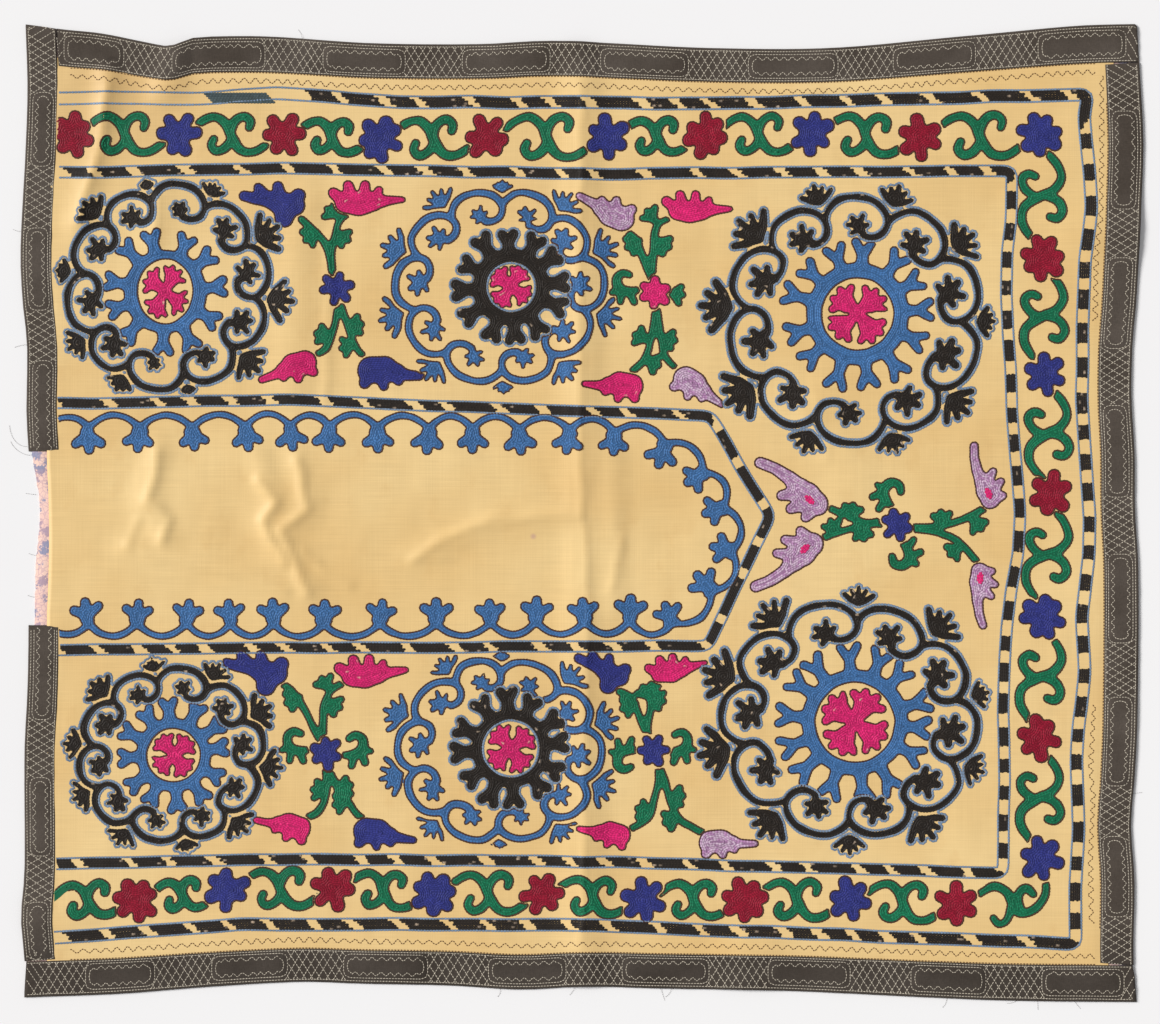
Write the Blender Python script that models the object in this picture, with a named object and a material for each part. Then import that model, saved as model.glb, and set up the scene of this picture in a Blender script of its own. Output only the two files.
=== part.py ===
"""Suzani with a prayer niche, lying flat with its embroidered face up.

Metres, +Z up. The origin is under the middle of the cloth, at the height it lies on. +X runs the long
way, towards the point of the niche, and +Y runs across. The pieces are the ones a maker cuts: a printed
lining, a silk face panel with a tab where the niche is open, and five strips of quilted binding whose
outer edge is turned down over the edge of the lining.
"""

import math
from collections import namedtuple

import bmesh
import bpy

# Driving sizes of the cut, before the edges drew in
LENGTH = 1.2020
WIDTH = 1.0480
LINING_THICK = 0.0010
FACE_THICK = 0.0012
BINDING_THICK = 0.0020
QUILT_RISE = 0.0007
GAP = 0.0003

# The binding's width on each side, and the turned edge that hides the lining
TOP_WIDTH = 0.0410
BOTTOM_WIDTH = 0.0395
RIGHT_WIDTH = 0.0375
LEFT_WIDTH = 0.0335
TURN_WIDTH = 0.0018
EDGE_DROP = 0.0008

# The open end of the niche, where the left binding stops and the lining shows
OPENING_TOP = 0.0660
OPENING_BOTTOM = -0.1200
TAB_EDGE = -0.5815
TAB_BOW = 0.0030

# How far in from each edge the unevenness of that edge is felt
REACH = 0.150

# Spacing of the points along the cloth, and where folds ask for closer ones
PITCH_X = 0.0205
PITCH_Y = 0.0215
FINE_PITCH_X = 0.0102
FINE_PITCH_Y = 0.0144
FINE_X = ((-0.556, -0.436), (-0.357, -0.291), (-0.033, 0.033))

UPPER_LEVEL = LINING_THICK + GAP
HALF_LENGTH = LENGTH / 2
HALF_WIDTH = WIDTH / 2
INNER_LEFT = LEFT_WIDTH - HALF_LENGTH
INNER_RIGHT = HALF_LENGTH - RIGHT_WIDTH
INNER_TOP = HALF_WIDTH - TOP_WIDTH
INNER_BOTTOM = BOTTOM_WIDTH - HALF_WIDTH

# How far each edge lies in from the straight cut, at places along it
Station = namedtuple("Station", "along inset")
TOP_EDGE = (
    Station(-0.601, 0.0008),
    Station(-0.559, 0.0064),
    Station(-0.516, 0.0107),
    Station(-0.462, 0.0210),
    Station(-0.440, 0.0245),
    Station(-0.420, 0.0165),
    Station(-0.398, 0.0140),
    Station(-0.334, 0.0140),
    Station(-0.227, 0.0210),
    Station(-0.109, 0.0220),
    Station(-0.040, 0.0185),
    Station(0.019, 0.0205),
    Station(0.137, 0.0262),
    Station(0.265, 0.0262),
    Station(0.404, 0.0140),
    Station(0.533, 0.0025),
    Station(0.601, 0.0005),
)
BOTTOM_EDGE = (
    Station(-0.601, 0.0054),
    Station(-0.494, 0.0096),
    Station(-0.398, 0.0170),
    Station(-0.302, 0.0222),
    Station(-0.238, 0.0203),
    Station(-0.141, 0.0182),
    Station(-0.066, 0.0139),
    Station(0.003, 0.0171),
    Station(0.083, 0.0150),
    Station(0.212, 0.0128),
    Station(0.372, 0.0054),
    Station(0.458, 0.0020),
    Station(0.601, 0.0005),
)
RIGHT_EDGE = (
    Station(-0.524, 0.0070),
    Station(-0.478, 0.0107),
    Station(-0.393, 0.0096),
    Station(-0.334, 0.0134),
    Station(-0.286, 0.0096),
    Station(-0.221, 0.0064),
    Station(-0.061, 0.0054),
    Station(0.003, 0.0090),
    Station(0.067, 0.0096),
    Station(0.121, 0.0128),
    Station(0.180, 0.0118),
    Station(0.228, 0.0075),
    Station(0.319, 0.0030),
    Station(0.390, 0.0000),
    Station(0.442, 0.0020),
    Station(0.524, 0.0070),
)
LEFT_EDGE = (
    Station(-0.524, 0.0040),
    Station(-0.484, 0.0043),
    Station(-0.436, 0.0010),
    Station(-0.382, 0.0043),
    Station(-0.254, 0.0043),
    Station(-0.189, 0.0075),
    Station(-0.123, 0.0086),
    Station(0.070, 0.0086),
    Station(0.100, 0.0064),
    Station(0.180, 0.0070),
    Station(0.228, 0.0021),
    Station(0.280, 0.0000),
    Station(0.388, 0.0054),
    Station(0.453, 0.0075),
    Station(0.524, 0.0054),
)
# The lining's own edge across the opening
EdgePlace = namedtuple("EdgePlace", "along x")
LINING_EDGE = (
    EdgePlace(-0.160, -0.5960),
    EdgePlace(-0.115, -0.5945),
    EdgePlace(-0.050, -0.5935),
    EdgePlace(-0.024, -0.5900),
    EdgePlace(0.008, -0.5900),
    EdgePlace(0.035, -0.5940),
    EdgePlace(0.062, -0.5980),
    EdgePlace(0.100, -0.5980),
)

# Folds that stand off the surface: a straight line, how high it stands and how far it spreads
Fold = namedtuple("Fold", "x0 y0 x1 y1 height spread")
FOLDS = (
    Fold(0.000, 0.500, -0.002, 0.130, 0.0042, 0.030),
    Fold(-0.002, 0.130, 0.004, -0.500, 0.0036, 0.030),
    Fold(0.030, 0.060, 0.034, -0.100, 0.0026, 0.024),
    Fold(-0.507, 0.470, -0.514, 0.400, 0.0046, 0.020),
    Fold(-0.514, 0.400, -0.540, 0.310, 0.0040, 0.018),
    Fold(-0.450, 0.350, -0.458, 0.290, 0.0020, 0.024),
    Fold(-0.428, 0.524, -0.446, 0.452, 0.0050, 0.026),
    Fold(-0.300, 0.330, -0.310, 0.130, 0.0022, 0.034),
    Fold(-0.454, 0.067, -0.468, 0.009, 0.0030, 0.022),
    Fold(-0.460, 0.006, -0.446, -0.029, 0.0034, 0.020),
    Fold(-0.487, -0.036, -0.430, -0.052, 0.0020, 0.024),
    Fold(-0.430, -0.052, -0.316, -0.082, 0.0022, 0.024),
    Fold(-0.347, 0.060, -0.327, 0.012, 0.0030, 0.020),
    Fold(-0.327, 0.012, -0.340, -0.010, 0.0036, 0.020),
    Fold(-0.340, -0.010, -0.318, -0.054, 0.0034, 0.020),
    Fold(-0.305, 0.060, -0.295, 0.003, 0.0026, 0.020),
    Fold(-0.295, 0.003, -0.320, -0.018, 0.0032, 0.018),
    Fold(-0.320, -0.018, -0.294, -0.086, 0.0030, 0.020),
    Fold(-0.181, -0.050, -0.098, -0.010, 0.0026, 0.020),
    Fold(-0.098, -0.010, -0.002, -0.002, 0.0028, 0.020),
    Fold(0.250, 0.120, 0.290, 0.040, 0.0018, 0.040),
    Fold(0.400, -0.340, 0.450, -0.390, 0.0016, 0.040),
    Fold(0.601, 0.300, 0.540, 0.310, 0.0034, 0.050),
    Fold(-0.601, -0.430, -0.555, -0.435, 0.0026, 0.045),
    Fold(0.180, -0.524, 0.180, -0.470, 0.0026, 0.050),
)

# The quilted pads along each strip, between stretches that are stitched down in a lattice
Pad = namedtuple("Pad", "start end")
TOP_PADS = (
    Pad(-0.5600, -0.4900),
    Pad(-0.4385, -0.3390),
    Pad(-0.2770, -0.1895),
    Pad(-0.1285, -0.0340),
    Pad(0.0195, 0.1135),
    Pad(0.1785, 0.2740),
    Pad(0.3330, 0.4215),
    Pad(0.4900, 0.5860),
)
BOTTOM_PADS = (
    Pad(-0.5340, -0.4570),
    Pad(-0.3960, -0.3155),
    Pad(-0.2555, -0.1650),
    Pad(-0.1005, -0.0170),
    Pad(0.0430, 0.1360),
    Pad(0.1990, 0.2870),
    Pad(0.3520, 0.4325),
    Pad(0.4935, 0.5830),
)
RIGHT_PADS = (
    Pad(-0.4335, -0.3465),
    Pad(-0.2920, -0.1970),
    Pad(-0.1390, -0.0440),
    Pad(0.0170, 0.1155),
    Pad(0.1765, 0.2730),
    Pad(0.3265, 0.4345),
)
LEFT_PADS = (
    Pad(-0.4820, -0.4160),
    Pad(-0.3670, -0.2835),
    Pad(-0.2215, -0.1230),
    Pad(0.0690, 0.1635),
    Pad(0.2170, 0.3050),
    Pad(0.3725, 0.4525),
)
PAD_MARGIN = 0.0075

SILK = (0.820, 0.585, 0.262)
PRINTED_COTTON = (0.640, 0.500, 0.450)
DARK_COTTON = (0.062, 0.048, 0.041)


def smooth_read(stations, along):
    """The value of a table of stations at a place, on a curve that runs smoothly through them all."""
    last = len(stations) - 2
    part = 0
    while part < last and along > stations[part + 1].along:
        part += 1
    near, far = stations[part], stations[part + 1]
    span = far.along - near.along
    share = min(1.0, max(0.0, (along - near.along) / span))

    def slope(index):
        before = stations[max(index - 1, 0)]
        after = stations[min(index + 1, len(stations) - 1)]
        return (after[1] - before[1]) / (after.along - before.along)

    cube, square = share**3, share**2
    return (
        (2 * cube - 3 * square + 1) * near[1]
        + (cube - 2 * square + share) * span * slope(part)
        + (3 * square - 2 * cube) * far[1]
        + (cube - square) * span * slope(part + 1)
    )


def spaced(start, end, pitch):
    """Even places from start up to, and not with, end."""
    count = max(1, round((end - start) / pitch))
    return [start + (end - start) * step / count for step in range(count)]


def column_places():
    """Places along X that every piece shares, closer together over the narrow folds."""
    places = []
    done = INNER_LEFT
    for start, end in FINE_X:
        places += spaced(done, start, PITCH_X) + spaced(start, end, FINE_PITCH_X)
        done = end
    places += spaced(done, INNER_RIGHT, PITCH_X)
    return [-HALF_LENGTH, *places, INNER_RIGHT, HALF_LENGTH]


def row_places():
    """Places along Y that every piece shares, closer together across the niche."""
    places = spaced(INNER_BOTTOM, OPENING_BOTTOM, PITCH_Y)
    places += spaced(OPENING_BOTTOM, OPENING_TOP, FINE_PITCH_Y)
    places += spaced(OPENING_TOP, INNER_TOP, PITCH_Y)
    return [-HALF_WIDTH, *places, INNER_TOP, HALF_WIDTH]


COLUMNS = column_places()
ROWS = row_places()


def straight_read(stations, shared, along):
    """The table's value, straight between the shared places, so that neighbouring pieces meet on one line."""
    after = next((k for k, place in enumerate(shared) if place >= along), len(shared) - 1)
    after = max(after, 1)
    start, end = shared[after - 1], shared[after]
    share = (along - start) / (end - start)
    return (1 - share) * smooth_read(stations, start) + share * smooth_read(stations, end)


def felt(distance):
    """How much of an edge's unevenness is felt at a distance in from it, from 1 down to 0."""
    share = min(1.0, max(0.0, distance / REACH))
    return 1 - share * share * (3 - 2 * share)


def lie(x, y):
    """Where a point of the straight cut lies, now that the edges have drawn in unevenly."""
    from_left = straight_read(LEFT_EDGE, ROWS, y) * felt(x + HALF_LENGTH)
    from_right = straight_read(RIGHT_EDGE, ROWS, y) * felt(HALF_LENGTH - x)
    from_bottom = straight_read(BOTTOM_EDGE, COLUMNS, x) * felt(y + HALF_WIDTH)
    from_top = straight_read(TOP_EDGE, COLUMNS, x) * felt(HALF_WIDTH - y)
    return x + from_left - from_right, y + from_bottom - from_top


def rise(x, y):
    """How far the folds lift the cloth at a place."""
    height = 0.0
    for fold in FOLDS:
        run_x, run_y = fold.x1 - fold.x0, fold.y1 - fold.y0
        share = ((x - fold.x0) * run_x + (y - fold.y0) * run_y) / (run_x**2 + run_y**2)
        share = min(1.0, max(0.0, share))
        away = math.hypot(x - fold.x0 - share * run_x, y - fold.y0 - share * run_y)
        if away < fold.spread:
            height = max(height, fold.height * (0.5 + 0.5 * math.cos(math.pi * away / fold.spread)))
    return height


def plain_material(name, colour, roughness):
    material = bpy.data.materials.new(name)
    material.use_nodes = True
    shader = material.node_tree.nodes["Principled BSDF"]
    shader.inputs["Base Color"].default_value = (*colour, 1.0)
    shader.inputs["Roughness"].default_value = roughness
    shader.inputs["Metallic"].default_value = 0.0
    return material


def add_object(name, mesh, material):
    """Turns a bmesh into one named object in the scene."""
    data = bpy.data.meshes.new(name)
    mesh.to_mesh(data)
    mesh.free()
    data.materials.append(material)
    data.shade_smooth()
    data.set_sharp_from_angle(angle=math.radians(40))
    made = bpy.data.objects.new(name, data)
    bpy.context.scene.collection.objects.link(made)
    return made


def fill_between(mesh, first, second):
    """Triangles between two upright chains of vertices that share neither end, as in a side wall."""
    i = j = 0
    while i < len(first) - 1 or j < len(second) - 1:
        if j < len(second) - 1 and (i == len(first) - 1 or j <= i):
            corners = (first[i], second[j], second[j + 1])
            j += 1
        else:
            corners = (first[i], second[j], first[i + 1])
            i += 1
        mesh.faces.new(corners)


def build_sheet(name, columns, rows, material, underside, upper, spot=None):
    """One sheet of cloth on a grid of places in the straight cut.

    underside(i, j) is the level of a cell's underside, or None where there is no cloth. upper(x, y) is the
    level of the top. spot(i, j) gives the place of a grid point where the grid isn't straight.
    """
    mesh = bmesh.new()
    spot = spot or (lambda i, j: (columns[i], rows[j]))
    wide, deep = len(columns) - 1, len(rows) - 1
    level_of = {(i, j): underside(i, j) for i in range(wide) for j in range(deep)}
    made = {}

    def under_levels(i, j):
        cells = ((i - 1, j - 1), (i, j - 1), (i - 1, j), (i, j))
        return sorted({level_of[c] for c in cells if level_of.get(c) is not None})

    def point(i, j, level):
        if (i, j, level) not in made:
            x, y = spot(i, j)
            height = upper(x, y) if level is None else level
            lying_x, lying_y = lie(x, y)
            made[i, j, level] = mesh.verts.new((lying_x, lying_y, height + rise(lying_x, lying_y)))
        return made[i, j, level]

    def chain(i, j, low, high):
        between = [level for level in under_levels(i, j) if low <= level and (high is None or level <= high)]
        return [point(i, j, level) for level in between] + ([point(i, j, None)] if high is None else [])

    for (i, j), level in level_of.items():
        if level is None:
            continue
        ring = ((i, j), (i + 1, j), (i + 1, j + 1), (i, j + 1))
        mesh.faces.new([point(*corner, None) for corner in ring])
        mesh.faces.new([point(*corner, level) for corner in reversed(ring)])
        sides = ((i, j - 1), (i + 1, j), (i, j + 1), (i - 1, j))
        for side, neighbour in enumerate(sides):
            beyond = level_of.get(neighbour)
            if beyond is not None and beyond <= level:
                continue
            start, end = ring[side], ring[(side + 1) % 4]
            fill_between(mesh, chain(*start, level, beyond), chain(*end, level, beyond))
    bmesh.ops.triangulate(mesh, faces=list(mesh.faces))
    return add_object(name, mesh, material)


def pad_rise(pads, along, across, width):
    """How far a quilted pad stands above the stitched-down cloth between the pads."""
    from_end = max(min(along - pad.start, pad.end - along) for pad in pads)
    from_side = min(across, width - across)
    return QUILT_RISE * min(1.0, max(0.0, from_end / PAD_MARGIN)) * min(1.0, max(0.0, from_side / PAD_MARGIN))


def along_strip(shared, pads, start, end):
    """The shared places within a strip and those where its pads begin and end, none too close together."""
    kept = [place for place in shared if start + TURN_WIDTH < place < end - TURN_WIDTH]
    changes = [p for pad in pads for p in (pad.start, pad.start + PAD_MARGIN, pad.end - PAD_MARGIN, pad.end)]
    clear = 2 * TURN_WIDTH
    inside = [place for place in changes if start + clear < place < end - clear]
    extra = [place for place in inside if all(abs(place - near) > TURN_WIDTH for near in kept)]
    return [start, *sorted(kept + extra), end]


def across_strip(outer, inner):
    """Places across a strip: its turned edge, the margins of its pads and its middle."""
    way = 1 if inner > outer else -1
    width = abs(inner - outer)
    steps = (0, TURN_WIDTH, TURN_WIDTH + PAD_MARGIN, width / 2, width - PAD_MARGIN, width)
    return [outer + way * step for step in steps]


def build_binding(name, x_range, y_range, pads, turned, material):
    """One strip of quilted binding. turned names the sides where its edge is turned down."""
    lying_across = x_range[1] - x_range[0] > y_range[1] - y_range[0]
    if lying_across:
        outer, inner = y_range if "bottom" in turned else reversed(y_range)
        columns = along_strip(COLUMNS, pads, *x_range)
        rows = sorted(across_strip(outer, inner))
    else:
        outer, inner = x_range if "left" in turned else reversed(x_range)
        columns = sorted(across_strip(outer, inner))
        rows = along_strip(ROWS, pads, *y_range)
    ends = {"left": columns, "bottom": rows, "right": columns, "top": rows}
    for side in turned:
        places = ends[side]
        edge = places[0] if side in ("left", "bottom") else places[-1]
        turn = edge + TURN_WIDTH if side in ("left", "bottom") else edge - TURN_WIDTH
        if all(abs(place - turn) > TURN_WIDTH / 4 for place in places):
            places.append(turn)
            places.sort()
    last_column, last_row = len(columns) - 2, len(rows) - 2
    turned_cells = {
        "left": lambda i, j: i == 0,
        "right": lambda i, j: i == last_column,
        "bottom": lambda i, j: j == 0,
        "top": lambda i, j: j == last_row,
    }

    def underside(i, j):
        return 0.0 if any(turned_cells[side](i, j) for side in turned) else UPPER_LEVEL

    def upper(x, y):
        outer = {
            "left": x - x_range[0],
            "right": x_range[1] - x,
            "bottom": y - y_range[0],
            "top": y_range[1] - y,
        }
        at_edge = min(outer[side] for side in turned) < TURN_WIDTH / 2
        if lying_across:
            pad = pad_rise(pads, x, y - y_range[0], y_range[1] - y_range[0])
        else:
            pad = pad_rise(pads, y, x - x_range[0], x_range[1] - x_range[0])
        return UPPER_LEVEL + BINDING_THICK - (EDGE_DROP if at_edge else 0.0) + pad

    return build_sheet(name, columns, rows, material, underside, upper)


def build_lining(material):
    """The printed lining: a flat sheet just inside the turned edge, with its own edge across the opening."""
    inset = TURN_WIDTH + GAP
    west, east = inset - HALF_LENGTH, HALF_LENGTH - inset
    south, north = inset - HALF_WIDTH, HALF_WIDTH - inset
    across = [place for place in COLUMNS if west < place < east]
    upright = [place for place in ROWS if south < place < north]

    def left_edge(y):
        return smooth_read(LINING_EDGE, y) if OPENING_BOTTOM <= y <= OPENING_TOP else west

    outline = [(west, south)]
    outline += [(x, south) for x in across]
    outline += [(east, south)]
    outline += [(east, y) for y in upright]
    outline += [(east, north)]
    outline += [(x, north) for x in reversed(across)]
    outline += [(west, north)]
    outline += [(left_edge(y), y) for y in reversed(upright)]

    mesh = bmesh.new()
    floor = mesh.faces.new([mesh.verts.new((*lie(x, y), 0.0)) for x, y in outline])
    raised = bmesh.ops.extrude_face_region(mesh, geom=[floor])
    lifted = [part for part in raised["geom"] if isinstance(part, bmesh.types.BMVert)]
    bmesh.ops.translate(mesh, verts=lifted, vec=(0.0, 0.0, LINING_THICK))
    bmesh.ops.recalc_face_normals(mesh, faces=list(mesh.faces))
    bmesh.ops.triangulate(mesh, faces=list(mesh.faces))
    return add_object("lining_panel", mesh, material)


def build_face(material):
    """The silk face panel, with the tab that reaches out between the two left strips of binding."""
    columns = [TAB_EDGE, *(x for x in COLUMNS if INNER_LEFT <= x <= INNER_RIGHT)]
    rows = [y for y in ROWS if INNER_BOTTOM <= y <= INNER_TOP]
    columns[1] += GAP
    columns[-1] -= GAP
    rows[0] += GAP
    rows[-1] -= GAP
    tab_rows = [j for j, y in enumerate(rows) if OPENING_BOTTOM <= y <= OPENING_TOP]
    tab_low, tab_high = tab_rows[0], tab_rows[-1]
    middle = (OPENING_TOP + OPENING_BOTTOM) / 2
    half = (OPENING_TOP - OPENING_BOTTOM) / 2

    def spot(i, j):
        x, y = columns[i], rows[j]
        if i == 0:
            x += TAB_BOW * (1 - ((y - middle) / half) ** 2)
            y += GAP if j == tab_low else 0.0
            y -= GAP if j == tab_high else 0.0
        return x, y

    def underside(i, j):
        is_cloth = i > 0 or tab_low <= j < tab_high
        return UPPER_LEVEL if is_cloth else None

    def upper(x, y):
        return UPPER_LEVEL + FACE_THICK

    return build_sheet("face_panel", columns, rows, material, underside, upper, spot)


def main():
    for old in list(bpy.data.objects):
        bpy.data.objects.remove(old)

    build_lining(plain_material("printed_cotton", PRINTED_COTTON, 0.9))
    build_face(plain_material("gold_silk", SILK, 0.55))

    dark = plain_material("dark_cotton", DARK_COTTON, 0.85)
    full_x = (-HALF_LENGTH, HALF_LENGTH)
    left_x = (-HALF_LENGTH, INNER_LEFT)
    top_x = (INNER_LEFT + GAP, HALF_LENGTH)
    right_x = (INNER_RIGHT, HALF_LENGTH)
    top_y = (INNER_TOP, HALF_WIDTH)
    bottom_y = (-HALF_WIDTH, INNER_BOTTOM)
    right_y = (INNER_BOTTOM + GAP, INNER_TOP - GAP)
    left_upper_y = (OPENING_TOP, HALF_WIDTH)
    left_lower_y = (INNER_BOTTOM + GAP, OPENING_BOTTOM)
    build_binding("binding_top", top_x, top_y, TOP_PADS, ("top", "right"), dark)
    build_binding("binding_bottom", full_x, bottom_y, BOTTOM_PADS, ("bottom", "left", "right"), dark)
    build_binding("binding_right", right_x, right_y, RIGHT_PADS, ("right",), dark)
    build_binding("binding_left_upper", left_x, left_upper_y, LEFT_PADS, ("left", "top"), dark)
    build_binding("binding_left_lower", left_x, left_lower_y, LEFT_PADS, ("left",), dark)


main()
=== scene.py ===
"""Looks of the suzani: silk face, chain-stitch embroidery, quilted binding, printed lining and loose ends.

Lengths are millimetres in the row's frame: +X runs towards the point of the niche, +Y up the cloth as it
is photographed and +Z out of its face. Everything on the silk follows one height field that is read from
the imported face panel. A shape is a group of strokes, and a stroke is a row of (x, y, half width) points.
"""

import math
from collections import namedtuple

import bpy
import numpy as np
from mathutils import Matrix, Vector
from mathutils.bvhtree import BVHTree
from mathutils.kdtree import KDTree


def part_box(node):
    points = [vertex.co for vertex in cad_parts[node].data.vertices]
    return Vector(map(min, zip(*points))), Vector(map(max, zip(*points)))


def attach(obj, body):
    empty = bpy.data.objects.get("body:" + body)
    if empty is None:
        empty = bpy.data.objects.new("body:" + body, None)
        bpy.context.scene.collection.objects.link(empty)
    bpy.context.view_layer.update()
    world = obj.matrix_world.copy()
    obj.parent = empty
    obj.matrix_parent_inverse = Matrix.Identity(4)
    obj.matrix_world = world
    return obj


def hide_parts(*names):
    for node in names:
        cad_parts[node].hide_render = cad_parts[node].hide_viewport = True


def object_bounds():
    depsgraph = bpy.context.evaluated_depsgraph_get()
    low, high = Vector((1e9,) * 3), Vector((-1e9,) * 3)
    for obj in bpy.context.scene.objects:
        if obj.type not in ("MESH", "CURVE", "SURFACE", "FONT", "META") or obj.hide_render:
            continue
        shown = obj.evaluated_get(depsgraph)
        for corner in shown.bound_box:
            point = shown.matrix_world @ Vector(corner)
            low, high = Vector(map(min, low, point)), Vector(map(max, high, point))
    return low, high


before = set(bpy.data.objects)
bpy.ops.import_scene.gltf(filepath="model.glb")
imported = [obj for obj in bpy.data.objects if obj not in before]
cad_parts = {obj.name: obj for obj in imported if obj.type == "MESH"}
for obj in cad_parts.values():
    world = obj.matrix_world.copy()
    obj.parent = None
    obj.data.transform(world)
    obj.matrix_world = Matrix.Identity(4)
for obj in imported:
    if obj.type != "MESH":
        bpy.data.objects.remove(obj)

CAD_LOW, CAD_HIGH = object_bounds()
MM = 0.001

# The raster of the height field and the grid of the silk
FIELD_PITCH = 3.0
SILK_PITCH = 4.4
SILK_UNDER_BINDING = 9.0
SILK_EDGE_LEVEL = 1.35

# The lining's grid, its inset from the solid's edges, its top and where its edge shows along Y
LINING_COLUMNS = 84
LINING_ROWS = 222
LINING_INSET = 0.4
LINING_TOP = 0.98
OPENING = (-118, 64)

# The embroidered area and the cell of its drawing
WEST, EAST, SOUTH, NORTH = -580.0, 570.0, -490.0, 490.0
CELL = 1.3
FAR = 6.0

# Chain stitch: its length, the space between rows, and its height over the silk
STITCH = 3.3
ROW_PITCH = 2.1
ROW_HALF = 1.15
ROW_HEIGHT = 0.75
PAD_LIFT = 0.3

# The thread under the rows: how far inside the edge it ends, its lift over the silk and its brightness, kept
# low as painted shade in the gaps between the rows
PAD_LEVEL = -0.6
BASE_LIFT = 0.22
PAD_PAINTED_SHADE = 0.62

# Half the width of the brown outlines and of the pale blue ones
OUTLINE_HALF = 1.05
PALE_HALF = 1.5

# How far out from an area's edge its outline runs, and how far in its first row does
BROWN_LEVEL = -0.7
FIRST_ROW = 2.7
PALE_LEVEL = 1.3
FIRST_BLACK_ROW = 0.9

# The share of stitches that are worn
WORN = {"lilac": 0.70, "pink": 0.01, "black": 0.008}
WORN_BARS = 0.015

# Stitching of the binding, measured in from its outer edge or out from its inner edge
OUTER_LINE = 3.2
INNER_LINE = 1.8
PAD_FROM_OUTER = 6.4
PAD_FROM_INNER = 4.3
PAD_CORNER = 7.0
WAVE_INSET = 4.6
WAVE_HEIGHT = 1.9
WAVE_LENGTH = 9.2
LATTICE_SPACING = 8.5
LATTICE_SLANT = 0.62
LEAST_EDGE = 0.35
BARE_END = 0.6
DASH = 3.2

# The end of a pad's round, and of the wave inside it: places back from the end and in from the side
PAD_END = ((PAD_CORNER, 0), (1.5, 2.2), (0, 7))
WAVE_END = ((9, WAVE_INSET), (5, WAVE_INSET + 3))

# The brown wave that holds the silk: its inset from the binding, its height, its length and its two runs
# on the right
WAVE_FROM_BINDING = 9.5
BROWN_WAVE = 2.5
BROWN_WAVE_LENGTH = 11.6
RIGHT_WAVES = (
    ((556, 468), (556, 380), (555, 320), (550, 278), (549, 205)),
    ((548, -205), (544, -273), (547, -304), (544, -365), (545, -441)),
)

# Where the quilted pads start and end along each strip
TOP_PADS = (
    (-554, -490), (-438, -339), (-277, -189), (-128, -34), (20, 114), (178, 274), (333, 421), (488, 582),
)
BOTTOM_PADS = (
    (-531, -457), (-396, -315), (-255, -165), (-100, -17), (43, 136), (199, 287), (352, 432), (492, 580),
)
RIGHT_PADS = ((-432, -346), (-292, -197), (-139, -44), (17, 115), (176, 273), (325, 430))
LEFT_UPPER_PADS = ((40, 163), (217, 305), (371, 450))
LEFT_LOWER_PADS = ((-478, -416), (-367, -283), (-221, -90))

# A rosette's middle, its ring's shift and radii, its medallion's radii, its star's size and teeth, the
# angle of the ring's first junction, and how much smaller its palmettes are above and below and to one side
Rosette = namedtuple(
    "Rosette",
    "x y ring_x ring_y across up medallion_x medallion_y star forks blue_ring first squeeze side_squeeze",
)
ROSETTES = (
    Rosette(-446, 237, 4, 5, 110, 110, 29, 34, 69, 11, False, 101, 0.70, -0.45),
    Rosette(-76, 242, -12, 0, 111, 104, 27, 27, 63, 12, True, 90, 0.50, 0),
    Rosette(295, 213, -4, -6, 136, 132, 38, 38, 85, 13, False, 105, 0.45, 0.42),
    Rosette(292, -224, -5, 2, 138, 127, 42, 42, 88, 14, False, 87, 0.38, 0.50),
    Rosette(-76, -252, -12, -2, 110, 98, 31, 31, 64, 12, True, 87, 0.55, 0),
    Rosette(-437, -259, -3, 0, 99, 94, 28, 28, 62, 12, False, 99, 0.40, -0.20),
)
LOBES = 10
COLLAR = 3.0
BLUE_RING_HALF = 4.2
BLACK_RING_HALF = 3.1
OUTER_AT = 0.97
OUTER_SIZE = 0.24
INNER_SIZE = 0.192
INNER_ROOT = (0.61, 0.715)
INNER_TIP = (0.40, 0.885)
MEDALLION_SHARE = 0.93

# A petal of a medallion: the direction and the reach of its lobes, and the slit beside it
PETAL_LOBES = ((-33, 0.82), (-11, 0.90), (11, 0.88), (32, 0.80))
PETAL_SLIT = (((0.26, 0, 0.02), (1.00, 0, 0.05)),)

# One lobe of a ring: share of the way to the next junction, share of the ring's radius
RING_LOBE = (
    (0.00, 0.835), (0.09, 0.91), (0.25, 0.98), (0.45, 1.00), (0.70, 0.985), (0.90, 0.92),
    (1.00, 0.835), (1.00, 0.76), (0.92, 0.705), (0.78, 0.68), (0.63, 0.69),
)
OUTER_PALMETTE = (
    ((0.06, 0, 0.12), (0.26, 0.36, 0.15), (0.60, 0.80, 0.12)),
    ((0.06, 0, 0.12), (0.26, -0.36, 0.15), (0.60, -0.80, 0.12)),
    ((0.12, 0, 0.16), (0.44, 0, 0.19)),
    ((0.34, -0.10, 0.14), (0.84, -0.40, 0.11)),
    ((0.34, 0, 0.14), (1.02, 0.03, 0.11)),
    ((0.34, 0.10, 0.14), (0.82, 0.42, 0.11)),
)
INNER_PALMETTE = (
    ((-0.05, 0, 0.18), (0.25, 0, 0.23), (0.50, 0, 0.25)),
    ((0.48, 0.04, 0.16), (0.92, 0.08, 0.145)),
    ((0.42, 0.10, 0.16), (0.74, 0.50, 0.135)),
    ((0.42, -0.10, 0.16), (0.72, -0.50, 0.135)),
    ((0.20, 0.10, 0.15), (0.22, 0.55, 0.13)),
    ((0.22, -0.10, 0.15), (0.18, -0.48, 0.13)),
)
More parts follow.
